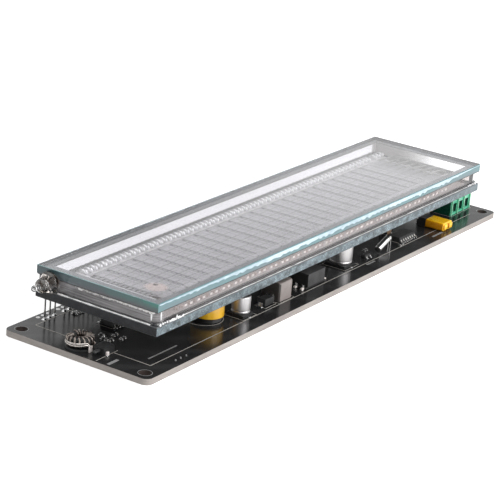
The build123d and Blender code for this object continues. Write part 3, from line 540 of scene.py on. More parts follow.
def grain_group() -> Tree:
    """Fine relief and a patchy mask, with a stretch along each axis."""
    def build(tree, given):
        fine = stretched_noise(tree, given["Scale"], given["Stretch"])
        broad = stretched_noise(tree, product(tree, given["Scale"], BROAD_SHARE), given["Stretch"])
        bump = wire(tree, "Bump",
                    {"Height": fine, "Strength": given["Depth"], "Distance": mm(0.05)})
        patch = math_node(tree, "MULTIPLY_ADD", fine, 0.4, product(tree, broad, 0.6))
        return {"Mask": range_node(tree, patch, 0.38, 0.62), "Normal": bump.outputs[0]}
    return shared_group(
        "fine_grain",
        {"Scale": ("NodeSocketFloat", 2000.0), "Depth": ("NodeSocketFloat", 0.2),
         "Stretch": ("NodeSocketVector", EVEN)},
        {"Mask": "NodeSocketFloat", "Normal": "NodeSocketVector"}, build)


def facing_group() -> Tree:
    """Masks of the faces that look up or down, along the length, and across it."""
    def build(tree, _given):
        normal = wire(tree, "NewGeometry").outputs["True Normal"]
        masks = [math_node(tree, "GREATER_THAN", math_node(tree, "ABSOLUTE", part), 0.6)
                 for part in axis_parts(tree, normal)]
        return dict(zip(("End", "Long", "Flat"), masks))
    return shared_group(
        "facing", {}, {"End": "NodeSocketFloat", "Long": "NodeSocketFloat", "Flat": "NodeSocketFloat"}, build)


def dust_group() -> Tree:
    """Specks of dust and faint smears, as a mask."""
    def build(tree, given):
        cells = wire(tree, "TexVoronoi", {"Vector": object_place(tree), "Scale": given["Scale"]})
        specks = range_node(tree, cells.outputs["Distance"], 0.04, 0.1, 1.0, 0.0)
        haze = range_node(tree, noise_node(tree, 45.0, 4.0)["Fac"], 0.45, 0.75, 0.0, 0.35)
        return {"Mask": larger(tree, product(tree, specks, given["Specks"]), haze)}
    return shared_group(
        "dust", {"Scale": ("NodeSocketFloat", 260.0), "Specks": ("NodeSocketFloat", 0.6)},
        {"Mask": "NodeSocketFloat"}, build)


def use_group(tree: Tree, group: Tree, inputs: dict | None = None):
    """Place a shared group in a tree and give its outputs."""
    return wire(tree, "Group", inputs, node_tree=group).outputs


def facing_masks(tree: Tree):
    """Place the masks of the faces in a tree and give them."""
    return use_group(tree, facing_group())


def grain_node(tree: Tree, scale: float, depth: float, stretch: Triple = EVEN):
    """Place the grain in a tree and give its mask and its normal."""
    return use_group(tree, grain_group(), {"Scale": scale, "Depth": depth, "Stretch": stretch})


@dataclass(frozen=True)
class Finish:
    """A surface finish, made into a material once."""

    name: str

    def material(self) -> bpy.types.Material:
        """Give the finish's material, and make it on first use."""
        title = f"{self.name}_finish"
        made = bpy.data.materials.get(title)
        if made is None:
            made = bpy.data.materials.new(title)
            made.use_nodes = True
            tree = made.node_tree
            tree.nodes.clear()
            shader = self.shade(tree)
            wire(tree, "OutputMaterial", {"Surface": shader})
        return made

    def shade(self, tree: Tree) -> Socket:
        """Build the shader."""
        raise NotImplementedError


def surface(tree: Tree, inputs: dict) -> Socket:
    """Add the main shader and give its result."""
    return wire(tree, "BsdfPrincipled", inputs).outputs[0]


def through_light(tree: Tree, shader, colour: Colour) -> Socket:
    """Let light fall through clear glass on what lies behind it.

    Args:
        tree: The material's tree.
        shader: The shader of the glass.
        colour: Tint of the light that passes.

    Returns:
        The mixed shader.
    """
    path = wire(tree, "LightPath").outputs
    share = larger(tree, path["Is Shadow Ray"], path["Is Diffuse Ray"])
    clear = wire(tree, "BsdfTransparent", {"Color": opaque(colour)}).outputs[0]
    return wire(tree, "MixShader", {0: share, 1: shader, 2: clear}).outputs[0]


@dataclass(frozen=True)
class Moulded(Finish):
    """An opaque surface: plastic, ceramic, ferrite, powder, ink or shell-like broken glass, with painted
    shade on its end faces where an end colour is given.
    """

    colour: Colour = (0.02, 0.02, 0.02)
    shade_colour: Colour = (0.01, 0.01, 0.01)
    roughness: float = 0.45
    scale: float = 2600.0
    depth: float = 0.25
    stretch: Triple = EVEN
    spread: Pair = (-0.06, 0.08)
    metallic: float = 0.0
    coat: float = 0.0
    coat_roughness: float = 0.08
    # Colour of painted shade on the faces that look along X, where less light falls.
    painted_end_shade: Colour | None = None

    def shade(self, tree: Tree) -> Socket:
        """Build the shader."""
        grain = grain_node(tree, self.scale, self.depth, self.stretch)
        rough = fade_node(tree, grain["Mask"], *(self.roughness + part for part in self.spread))
        colour = blend_node(tree, grain["Mask"], self.shade_colour, self.colour)
        # Paint the shade on the end faces.
        if self.painted_end_shade is not None:
            colour = blend_node(tree, facing_masks(tree)["End"], colour, self.painted_end_shade)
        return surface(tree, {"Base Color": colour, "Roughness": rough, "Normal": grain["Normal"],
                              "Metallic": self.metallic, "Coat Weight": self.coat,
                              "Coat Roughness": self.coat_roughness})


@dataclass(frozen=True)
class Metal(Moulded):
    """Drawn, tinned, brushed or enamelled metal, rougher where it is tarnished."""

    colour: Colour = (0.8, 0.8, 0.8)
    shade_colour: Colour = (0.45, 0.43, 0.42)
    roughness: float = 0.25
    scale: float = 1500.0
    depth: float = 0.2
    spread: Pair = (0.12, -0.05)
    metallic: float = 1.0


@dataclass(frozen=True)
class ClearGlass(Finish):
    """Polished flat glass with a little dust."""

    tint: Colour = (0.965, 0.963, 0.975)
    dusty_roughness: float = 0.07

    def shade(self, tree: Tree) -> Socket:
        """Build the shader."""
        dust = use_group(tree, dust_group())["Mask"]
        glass = surface(tree, {
            "Base Color": opaque(self.tint), "Roughness": fade_node(tree, dust, 0.0, self.dusty_roughness),
            "IOR": GLASS_IOR, "Transmission Weight": 1.0})
        return through_light(tree, glass, self.tint)


@dataclass(frozen=True)
class CutGlass(Finish):
    """The green edge of cut plate glass, with a painted highlight towards one corner, painted shade low down,
    and grey from within with painted shade towards the back left.
    """

    deep: Colour = (0.045, 0.082, 0.095)
    # Painted highlight, strongest towards the near corner.
    bright: Colour = (0.03, 0.26, 0.21)
    # Painted shade low down on the edge.
    painted_low_shade: Colour = (0.075, 0.068, 0.08)
    fleck: Colour = (0.16, 0.27, 0.29)
    within: Colour = (0.12, 0.118, 0.13)
    # Painted shade on the inner side towards the back left.
    within_back_shade: Colour = (0.03, 0.032, 0.038)
    # Where the painted highlight grows, and the levels of the painted shade low down.
    highlight_reach: Pair = (0.0, -18.8)
    low_shade_levels: Pair = (17.3, 15.9)
    # Reaches of the painted shade on the inner side, towards the back and towards the left.
    back_reach: Pair = (14.0, 16.0)
    left_reach: Pair = (30.0, -50.0)
    # How much of the painted highlight the long faces keep.
    long_highlight_share: float = 0.2
    stretch: Triple = (1.0, 0.25, 1.0)
    roughness: float = 0.12

    def shade(self, tree: Tree) -> Socket:
        """Build the shader."""
        grain = grain_node(tree, 1400.0, 0.5, self.stretch)
        place = place_parts(tree)
        # Painted highlight: brighter towards the near corner, weaker on the long faces.
        along = reach_node(tree, place["Y"], self.highlight_reach)
        share = product(tree, along, fade_node(tree, grain["Mask"], 0.45, 1.0))
        facing = facing_masks(tree)
        share = product(tree, share, fade_node(tree, facing["Long"], 1.0, self.long_highlight_share))
        patches = stretched_noise(tree, 260.0, self.stretch, 2.0)
        # Painted shade in patches low down.
        low = product(tree, reach_node(tree, place["Z"], self.low_shade_levels),
                      range_node(tree, patches, 0.42, 0.58, 0.0, 0.9))
        body = blend_node(tree, low, blend_node(tree, share, self.deep, self.bright), self.painted_low_shade)
        body = blend_node(tree, range_node(tree, grain["Mask"], 0.8, 1.0, 0.0, 0.3), body, self.fleck)
        inside = wire(tree, "NewGeometry").outputs["Backfacing"]
        # Painted shade on the inner side towards the back left.
        back = product(tree, reach_node(tree, place["Y"], self.back_reach),
                       reach_node(tree, place["X"], self.left_reach, 0.85))
        within = blend_node(tree, back, self.within, self.within_back_shade)
        return surface(tree, {"Base Color": blend_node(tree, inside, body, within),
                              "Roughness": self.roughness, "IOR": GLASS_IOR,
                              "Normal": grain["Normal"], "Coat Weight": 0.3, "Coat Roughness": 0.1})


@dataclass(frozen=True)
class WallGlass(Finish):
    """The side wall: clear, with a rosy near side, a tinted back, a layered left and a grey right end."""

    tint: Colour = (0.98, 0.98, 0.99)
    near_tint: Colour = (0.56, 0.46, 0.43)
    back_tint: Colour = (0.83, 0.82, 0.86)
    layer_light: Colour = (0.50, 0.48, 0.49)
    layer_dark: Colour = (0.09, 0.085, 0.09)
    right_colour: Colour = (0.36, 0.33, 0.32)
    near_reach: Pair = (-16.0, -17.0)
    back_reach: Pair = (15.0, 15.5)
    left_reach: Pair = (-78.3, -79.3)
    right_reach: Pair = (77.5, 78.5)
    right_across: Pair = (-5.0, 9.0)
    near_share: float = 0.18
    end_share: float = 0.85

    def shade(self, tree: Tree) -> Socket:
        """Build the shader."""
        place = place_parts(tree)
        layers = grain_node(tree, 2300.0, 0.35, (0.03, 0.03, 1.0))
        near = reach_node(tree, place["Y"], self.near_reach)
        left = reach_node(tree, place["X"], self.left_reach, self.end_share)
        share = larger(tree, left, product(tree, near, self.near_share))
        right = product(tree, reach_node(tree, place["X"], self.right_reach),
                        reach_node(tree, place["Y"], self.right_across, self.end_share))
        back = reach_node(tree, place["Y"], self.back_reach)
        glass = surface(tree, {
            "Base Color": blend_node(tree, back, blend_node(tree, near, self.tint, self.near_tint),
                                     self.back_tint),
            "Roughness": fade_node(tree, near, 0.0, 0.06), "IOR": GLASS_IOR, "Transmission Weight": 1.0})
        sawn = surface(tree, {
            "Base Color": blend_node(tree, layers["Mask"], self.layer_dark, self.layer_light),
            "Roughness": 0.25, "Normal": layers["Normal"], "IOR": GLASS_IOR})
        grey = surface(tree, {"Base Color": opaque(self.right_colour), "Roughness": 0.3,
                              "Normal": layers["Normal"]})
        mixed = wire(tree, "MixShader", {0: share, 1: glass, 2: sawn}).outputs[0]
        mixed = wire(tree, "MixShader", {0: right, 1: mixed, 2: grey}).outputs[0]
        return through_light(tree, mixed, self.tint)


@dataclass(frozen=True)
class BaseGlass(Finish):
    """The base glass: smooth and dark at its ends, mottled and blue-grey along its broken sides."""

    smooth: Colour = (0.008, 0.009, 0.011)
    smooth_fleck: Colour = (0.026, 0.027, 0.03)
    mottle_dark: Colour = (0.02, 0.032, 0.038)
    mottle_light: Colour = (0.17, 0.23, 0.26)
    glint_colour: Colour = (0.70, 0.82, 0.86)
    right_shade: Colour = (0.13, 0.17, 0.185)
    flat_colour: Colour = (0.10, 0.105, 0.11)
    right_reach: Pair = (64.0, 79.0)

    def shade(self, tree: Tree) -> Socket:
        """Build the shader."""
        facing = facing_masks(tree)
        place = place_parts(tree)
        mottle = grain_node(tree, 3600.0, 1.0, (0.8, 1.0, 1.0))
        crystals = wire(tree, "TexVoronoi", {"Vector": object_place(tree), "Scale": 1900.0})
        glint = range_node(tree, crystals.outputs["Distance"], 0.1, 0.28, 0.75, 0.0)
        side = blend_node(tree, mottle["Mask"], self.mottle_dark, self.mottle_light)
        side = blend_node(tree, product(tree, glint, mottle["Mask"]), side, self.glint_colour)
        side = blend_node(tree, reach_node(tree, place["X"], self.right_reach, 0.8), side, self.right_shade)
        end = blend_node(tree, mottle["Mask"], self.smooth, self.smooth_fleck)
        colour = blend_node(tree, facing["Long"], end, side)
        colour = blend_node(tree, facing["Flat"], colour, self.flat_colour)
        rough = fade_node(tree, facing["Long"], 0.34, 0.24)
        gloss = fade_node(tree, facing["Long"], 0.22, 0.5)
        return surface(tree, {"Base Color": colour, "Roughness": rough, "IOR": GLASS_IOR,
                              "Specular IOR Level": gloss, "Normal": mottle["Normal"]})


@dataclass(frozen=True)
class Frit(Finish):
    """Fused sealing glass, bright where it bulges."""

    colour: Colour = (0.86, 0.86, 0.87)
    shade_colour: Colour = (0.20, 0.19, 0.20)
    gather: float = 0.5
    soft: float = 0.3

    def shade(self, tree: Tree) -> Socket:
        """Build the shader."""
        grain = grain_node(tree, 900.0, 0.8, (0.3, 0.3, 1.0))
        share = range_node(tree, grain["Mask"], self.gather - self.soft, self.gather + self.soft)
        return surface(tree, {
            "Base Color": blend_node(tree, share, self.shade_colour, self.colour),
            "Roughness": 0.18, "Normal": grain["Normal"], "Coat Weight": 0.8, "Coat Roughness": 0.04})


@dataclass(frozen=True)
class AnodeLayer(Finish):
    """The insulating layer: dark between the grids, pale grey beyond the first and the last one."""

    dark: Colour = (0.045, 0.044, 0.05)
    pale: Colour = (0.40, 0.395, 0.41)
    left_reach: Pair = (-71.0, -71.3)
    right_reach: Pair = (65.6, 65.9)

    def shade(self, tree: Tree) -> Socket:
        """Build the shader."""
        along = place_parts(tree)["X"]
        grain = grain_node(tree, 1500.0, 0.2)
        beyond = larger(tree, reach_node(tree, along, self.left_reach),
                        reach_node(tree, along, self.right_reach))
        shaded = fade_node(tree, grain["Mask"], 0.85, 1.0)
        pale = blend_node(tree, product(tree, beyond, shaded), self.dark, self.pale)
        return surface(tree, {"Base Color": pale, "Roughness": 0.65, "Normal": grain["Normal"]})


@dataclass(frozen=True)
class SealLayer(Finish):
    """The sealing glass under the cover: grey from above, with painted light towards the near side and the
    left end and painted shade towards the left, black at its rim.
    """

    back: Colour = (0.085, 0.083, 0.092)
    # Painted light towards the near side and the left end.
    near: Colour = (0.115, 0.125, 0.14)
    # Painted shade towards the left.
    left: Colour = (0.04, 0.042, 0.048)
    rim: Colour = (0.012, 0.012, 0.013)
    near_reach: Pair = (13.0, 4.0)
    light_end_reach: Pair = (-70.0, -80.0)
    left_reach: Pair = (30.0, -50.0)

    def shade(self, tree: Tree) -> Socket:
        """Build the shader."""
        facing = facing_masks(tree)
        place = place_parts(tree)
        grain = grain_node(tree, 500.0, 0.3, (0.3, 1.0, 1.0))
        # Painted light: lighter towards the near side and the left end.
        painted_light_share = larger(tree, reach_node(tree, place["Y"], self.near_reach),
                       reach_node(tree, place["X"], self.light_end_reach, 0.6))
        back = blend_node(tree, grain["Mask"], dimmed(self.back, 0.85), self.back)
        # Painted shade: darker towards the left.
        back = blend_node(tree, reach_node(tree, place["X"], self.left_reach, 0.9), back, self.left)
        top = blend_node(tree, painted_light_share, back, self.near)
        return surface(tree, {"Base Color": blend_node(tree, facing["Flat"], self.rim, top),
                              "Roughness": 0.4, "Normal": grain["Normal"]})


@dataclass(frozen=True)
class MeltedGlass(Finish):
    """Drawn and melted glass with its tint."""

    tint: Colour = (0.9, 0.9, 0.9)
    roughness: float = 0.02

    def shade(self, tree: Tree) -> Socket:
        """Build the shader."""
        grain = grain_node(tree, 500.0, 0.35)
        colour = blend_node(tree, grain["Mask"], dimmed(self.tint, 0.8), self.tint)
        glass = surface(tree, {"Base Color": colour, "Roughness": self.roughness, "IOR": GLASS_IOR,
                               "Transmission Weight": 1.0, "Normal": grain["Normal"]})
        return through_light(tree, glass, self.tint)


@dataclass(frozen=True)
class BoardMask(Finish):
    """Glossy black solder mask over tracks, with layered fibre board at the cut edges."""

    mask: Colour = (0.016, 0.016, 0.017)
    track: Colour = (0.026, 0.026, 0.027)
    dust: Colour = (0.35, 0.34, 0.33)
    fibre: Colour = (0.41, 0.375, 0.35)
    fibre_shade: Colour = (0.28, 0.25, 0.235)
    # Painted shade: the fibre walls of the holes, dark where little light reaches.
    hole_wall_shade: Colour = (0.035, 0.022, 0.018)
    hole_place: Pair = (86.75, 19.25)
    hole_reach: float = 1.62
    track_pitch: float = 3.2
    track_bend: float = 4.0

    def _tracks(self, tree: Tree) -> Socket:
        """Give a mask of the bent tracks under the solder mask."""
        bend = (mm(self.track_bend), mm(self.track_bend), 0)
        warp = vector_node(tree, "MULTIPLY", noise_node(tree, 90.0, 1.0)["Color"], bend)
        bent = vector_node(tree, "ADD", object_place(tree), warp)
        bands = wire(tree, "TexWave", {"Vector": bent, "Scale": 1000 / self.track_pitch / 6.3},
                     bands_direction="DIAGONAL")
        return range_node(tree, bands.outputs["Fac"], 0.80, 0.86)

    def _edges(self, tree: Tree) -> Socket:
        """Give the colour of the cut edges, and painted shade on the walls of the holes."""
        layers = grain_node(tree, 2600.0, 0.5, (0.12, 0.12, 1.0))
        edge = blend_node(tree, layers["Mask"], self.fibre_shade, self.fibre)
        folded = vector_node(tree, "ABSOLUTE", object_place(tree))
        away = vector_node(tree, "SUBTRACT", folded, (*(mm(part) for part in self.hole_place), 0.0))
        reach = vector_node(tree, "LENGTH", vector_node(tree, "MULTIPLY", away, (1.0, 1.0, 0.0)))
        inside = math_node(tree, "LESS_THAN", reach, mm(self.hole_reach))
        # Paint the holes' walls dark as shade.
        return blend_node(tree, inside, edge, self.hole_wall_shade)

    def shade(self, tree: Tree) -> Socket:
        """Build the shader."""
        facing = facing_masks(tree)
        tracks, edge = self._tracks(tree), self._edges(tree)
        peel = product(tree, noise_node(tree, 420.0, 2.0)["Fac"], 0.35)
        height = math_node(tree, "MULTIPLY_ADD", tracks, 0.8, peel)
        relief = wire(tree, "Bump", {"Height": height, "Strength": 0.12, "Distance": mm(0.04)})
        dust = use_group(tree, dust_group(), {"Scale": 320.0, "Specks": 0.25})["Mask"]
        face = blend_node(tree, tracks, self.mask, self.track)
        face = blend_node(tree, product(tree, dust, 0.1), face, self.dust)
        rough = math_node(tree, "MULTIPLY_ADD", dust, 0.15, 0.19)
        return surface(tree, {
            "Base Color": blend_node(tree, facing["Flat"], edge, face), "Specular IOR Level": 0.52,
            "Roughness": larger(tree, rough, fade_node(tree, facing["Flat"], 0.75, 0.0)),
            "Normal": relief.outputs[0]})


@dataclass(frozen=True)
class InnerPrint(Finish):
    """The printed layer on the base glass, with fine conductors that run to the leads."""

    ground: Colour = (0.60, 0.58, 0.59)
    line: Colour = (0.36, 0.355, 0.37)
    pitch: float = 2.0
    line_reach: Pair = (10.6, 11.2)

    def shade(self, tree: Tree) -> Socket:
        """Build the shader."""
        place = object_place(tree)
        bands = wire(tree, "TexWave", {"Vector": place, "Scale": 1000 / self.pitch / 6.2832},
                     bands_direction="X")
        lines = product(tree, range_node(tree, bands.outputs["Fac"], 0.55, 0.7, 0.0, 0.7),
                        reach_node(tree, axis_parts(tree, place)["Y"], self.line_reach))
        grain = grain_node(tree, 1800.0, 0.3)
        ground = blend_node(tree, grain["Mask"], dimmed(self.ground, 0.85), self.ground)
        return surface(tree, {"Base Color": blend_node(tree, lines, ground, self.line),
                              "Roughness": 0.5, "Normal": grain["Normal"]})


@dataclass(frozen=True)
class Film(Finish):
    """A thin stain that fades towards its rim."""

    colour: Colour = (0.60, 0.50, 0.47)
    centre: Pair = (0.0, 0.0)
    radius: float = 5.0
    density: float = 0.8

    def shade(self, tree: Tree) -> Socket:
        """Build the shader."""
        away = vector_node(tree, "SUBTRACT", object_place(tree), (*self.centre, 0.0))
        reach = vector_node(tree, "LENGTH", vector_node(tree, "MULTIPLY", away, (1.0, 1.0, 0.0)))
        fade = range_node(tree, reach, mm(self.radius), mm(self.radius) * 0.55, 0.0, self.density)
        patch = range_node(tree, noise_node(tree, 500.0, 3.0)["Fac"], 0.3, 0.6, 0.7, 1.0)
        return surface(tree, {"Base Color": opaque(self.colour), "Roughness": 0.5,
                              "Alpha": product(tree, fade, patch)})


@dataclass(frozen=True)
class PaleFloor(Finish):
    """A plain white sweep that keeps a soft shadow, and lights the object less from its left."""

    colour: Colour = (0.86, 0.86, 0.86)
    left_colour: Colour = (0.1, 0.1, 0.1)
    left_reach: Pair = (-60.0, -200.0)
    left_share: float = 0.75
    glow: float = 0.36

    def shade(self, tree: Tree) -> Socket:
        """Build the shader."""
        path = wire(tree, "LightPath").outputs
        seen = larger(tree, path["Is Camera Ray"],
                      larger(tree, path["Is Glossy Ray"], path["Is Transmission Ray"]))
        glow = wire(tree, "Emission",
                    {"Color": opaque(WHITE), "Strength": product(tree, seen, self.glow)})
        along = place_parts(tree)["X"]
        bounce = product(tree, path["Is Diffuse Ray"],
                         reach_node(tree, along, self.left_reach, self.left_share))
        matt = wire(tree, "BsdfDiffuse",
                    {"Color": blend_node(tree, bounce, self.colour, self.left_colour)})
        return wire(tree, "AddShader", {0: glow.outputs[0], 1: matt.outputs[0]}).outputs[0]


COVER_CLEAR = ClearGlass("cover_clear")
COVER_END = CutGlass("cover_cut_end")
# The long edges have their own painted highlight and painted shade low down.
COVER_LONG = CutGlass("cover_cut_long", deep=(0.10, 0.21, 0.23), bright=(0.10, 0.23, 0.25),
                      painted_low_shade=(0.12, 0.17, 0.19), stretch=(0.25, 1.0, 1.0))
# Lighter teal on the cover's upper left arris: a painted highlight where the bevel catches the light.
COVER_ARRIS_HIGHLIGHT = Moulded("cover_arris_highlight", (0.30, 0.48, 0.49), (0.18, 0.30, 0.31), roughness=0.2, scale=500.0,
                      coat=0.5)
# Pale frosted break along the long edges: the break is real, its pale colour a painted highlight.
COVER_BREAK_HIGHLIGHT = Moulded("cover_break", (0.62, 0.77, 0.84), (0.34, 0.46, 0.52), roughness=0.3, scale=700.0,
                      depth=0.6, stretch=(0.5, 1.0, 1.6), spread=(0.0, 0.0), coat=0.5, coat_roughness=0.03)
WALL = WallGlass("wall_glass")
BASE = BaseGlass("base_glass")
SEAL_DARK = Frit("seal_dark", (0.05, 0.05, 0.055), (0.012, 0.012, 0.013), gather=0.7)
SEAL_LAYER = SealLayer("seal_layer")
# Pale sealing glass; on the seam beads and the corner columns its whiteness is a painted glint.
SEAL_AND_GLINT = Frit("seal_bead_and_glint", (0.95, 0.95, 0.96), (0.60, 0.60, 0.61), gather=0.2)
SEAL_FLECK = Frit("seal_fleck", (1.0, 0.98, 0.97), (0.34, 0.32, 0.32), gather=0.25)
TIP_CLEAR = MeltedGlass("tip_clear")
TIP_SMOKY = MeltedGlass("tip_smoky", tint=(0.58, 0.50, 0.44), roughness=0.12)
CEMENT = Moulded("cement", (0.56, 0.50, 0.47), (0.48, 0.42, 0.39), roughness=0.5)
MASK = BoardMask("board_mask")
INK = Moulded("board_ink", (0.46, 0.44, 0.41), (0.34, 0.32, 0.29), roughness=0.5)
FAINT_INK = Moulded("faint_ink", (0.30, 0.30, 0.30), (0.21, 0.21, 0.21), roughness=0.5)
PRINT = InnerPrint("inner_print")
ANODE = AnodeLayer("anode_layer")
PHOSPHOR = Moulded("phosphor", (0.60, 0.59, 0.61), (0.52, 0.51, 0.53), roughness=0.8)
GRID = Moulded("grid_rim", (0.34, 0.335, 0.35), (0.26, 0.255, 0.27), roughness=0.5)
MESH = Moulded("grid_mesh", (0.66, 0.65, 0.675), (0.56, 0.55, 0.57), roughness=0.5)
# Near white on the leads' curled tabs: a painted highlight on their metal.
CURL_HIGHLIGHT = Moulded("lead_curl_highlight", (0.97, 0.97, 0.98), (0.80, 0.80, 0.82), roughness=0.3)
RUN = Moulded("lead_run", (0.62, 0.61, 0.63), (0.42, 0.41, 0.43), roughness=0.35)
# Lighter green on the terminal's ribs than on its block: a painted highlight on the same plastic.
RIB_HIGHLIGHT = Moulded("terminal_rib_highlight", (0.30, 0.72, 0.48), (0.18, 0.58, 0.35), roughness=0.3, coat=0.5)
STRAND = Metal("toroid_strand", (0.72, 0.68, 0.65), (0.30, 0.27, 0.25), roughness=0.22)
# Pale diffuse colour on tinned clips, pins and leads: a painted glint of the tin.
TIN_GLINT = Moulded("painted_tin_glint", (0.92, 0.85, 0.82), (0.75, 0.68, 0.65), roughness=0.3)
WIRE = Moulded("coated_wire", (0.27, 0.27, 0.28), (0.22, 0.22, 0.23), roughness=0.7)
SPRING = Metal("spring_sheet", (0.50, 0.49, 0.49), (0.32, 0.31, 0.31), roughness=0.4)
GETTER = Metal("getter_metal", (0.30, 0.27, 0.26), (0.10, 0.09, 0.09), roughness=0.45)
LEAD = Metal("lead_metal", (0.72, 0.71, 0.70), (0.30, 0.28, 0.27), roughness=0.28, stretch=(1.0, 1.0, 0.15))
# Glossy dark lumps of painted shade in the gaps at the wall's corners.
GAP_SHADE = Moulded("painted_gap_shade", (0.06, 0.063, 0.07), (0.02, 0.021, 0.024), roughness=0.2, coat=0.6)
SOLDER = Metal("solder", (0.86, 0.86, 0.86), (0.62, 0.62, 0.62), roughness=0.14, scale=900.0)
TIN = Metal("tin_plate", (0.84, 0.83, 0.82), (0.55, 0.54, 0.53), roughness=0.2)
ENAMEL = Metal("enamelled_wire", (0.50, 0.44, 0.40), (0.12, 0.10, 0.09), roughness=0.24)
COPPER = Metal("winding_copper", (0.78, 0.62, 0.46), (0.34, 0.25, 0.19), roughness=0.2)
CAN = Metal("can_aluminium", (0.72, 0.70, 0.70), (0.56, 0.545, 0.55), roughness=0.36,
            stretch=(1.0, 1.0, 0.1))
CRYSTAL = Metal("crystal_metal", (0.93, 0.93, 0.92), (0.70, 0.70, 0.69), roughness=0.14)
CLAMP = Metal("clamp_metal", (0.72, 0.72, 0.70), (0.45, 0.45, 0.44), roughness=0.3)
BLACK = Moulded("black_moulding", (0.022, 0.022, 0.024), (0.012, 0.012, 0.013))
PACKAGE = Moulded("chip_package", (0.035, 0.035, 0.037), (0.02, 0.02, 0.021), roughness=0.5, scale=5200.0,
                  depth=0.5)
PLUNGER = Moulded("plunger_moulding", (0.05, 0.05, 0.052), (0.03, 0.03, 0.032), roughness=0.3)
# The ferrite's end faces are painted darker as shade.
FERRITE = Moulded("ferrite", (0.075, 0.073, 0.075), (0.035, 0.034, 0.036), roughness=0.55, depth=0.6,
                  painted_end_shade=(0.012, 0.012, 0.012))
TAPE = Moulded("film_tape", (0.98, 0.60, 0.035), (0.86, 0.43, 0.02), roughness=0.22, scale=500.0,
               depth=0.15, coat=0.8)
# The powder's end faces are painted darker as shade.
POWDER = Moulded("pressed_powder", (0.33, 0.29, 0.275), (0.25, 0.22, 0.21), roughness=0.42, scale=3600.0,
                 depth=0.6, coat=0.2, painted_end_shade=(0.06, 0.052, 0.05))
BOBBIN = Moulded("bobbin", (0.02, 0.02, 0.02), (0.01, 0.01, 0.01), roughness=0.5)
CERAMIC = Moulded("tan_ceramic", (0.42, 0.29, 0.20), (0.30, 0.20, 0.14), roughness=0.35)
GLAZE = Moulded("resistor_glaze", (0.02, 0.02, 0.022), (0.012, 0.012, 0.013), roughness=0.2, coat=0.5)
# The jumper's end faces are painted deeper amber as shade.
YELLOW = Moulded("jumper_yellow", (1.0, 0.62, 0.02), (0.98, 0.52, 0.01), roughness=0.25, coat=0.5,
                 painted_end_shade=(0.72, 0.29, 0.004))
# The terminal's end faces are painted dark green as shade.
GREEN = Moulded("terminal_green", (0.12, 0.60, 0.38), (0.08, 0.50, 0.30), roughness=0.28, coat=0.5,
                painted_end_shade=(0.004, 0.09, 0.05))

NODE_FINISHES: dict[str, Finish] = {
    "circuit_board": MASK, "base_glass": BASE, "side_wall_frame": WALL, "lower_frit_seal": SEAL_DARK,
    "anode_plate": ANODE, "control_grids": GRID, "filament_anchor": SPRING, "filament_springs": SPRING,
    "getter_ring": GETTER, "menu_switch_body": BLACK, "menu_switch_dome": SPRING, "menu_switch_pins": TIN,
    "toroid_base": BLACK, "toroid_core": FERRITE, "drum_core": FERRITE, "drum_winding": COPPER,
    "drum_pins": TIN, "small_capacitor_base": BLACK, "large_capacitor_base": BLACK, "capacitor_tabs": TIN,
    "choke_body": POWDER, "choke_tabs": TIN, "transformer_core": FERRITE, "transformer_coil": COPPER,
    "transformer_deck": BOBBIN, "transformer_pins": TIN, "diode_body": PACKAGE, "diode_leads": TIN,
    "transistor_body": PACKAGE, "transistor_leads": TIN, "crystal_leads": TIN, "logic_chip": PACKAGE,
    "amplifier_chip": PACKAGE, "small_outline_leads": TIN, "controller_chip": PACKAGE,
    "driver_chips": PACKAGE, "ceramic_capacitor": CERAMIC, "chip_bodies": GLAZE, "chip_terminals": TIN,
    "jumper_cap": YELLOW, "header_block": BLACK, "header_pins": TIN, "terminal_block": GREEN,
    "terminal_clamps": CLAMP, "terminal_screws": CLAMP,
}


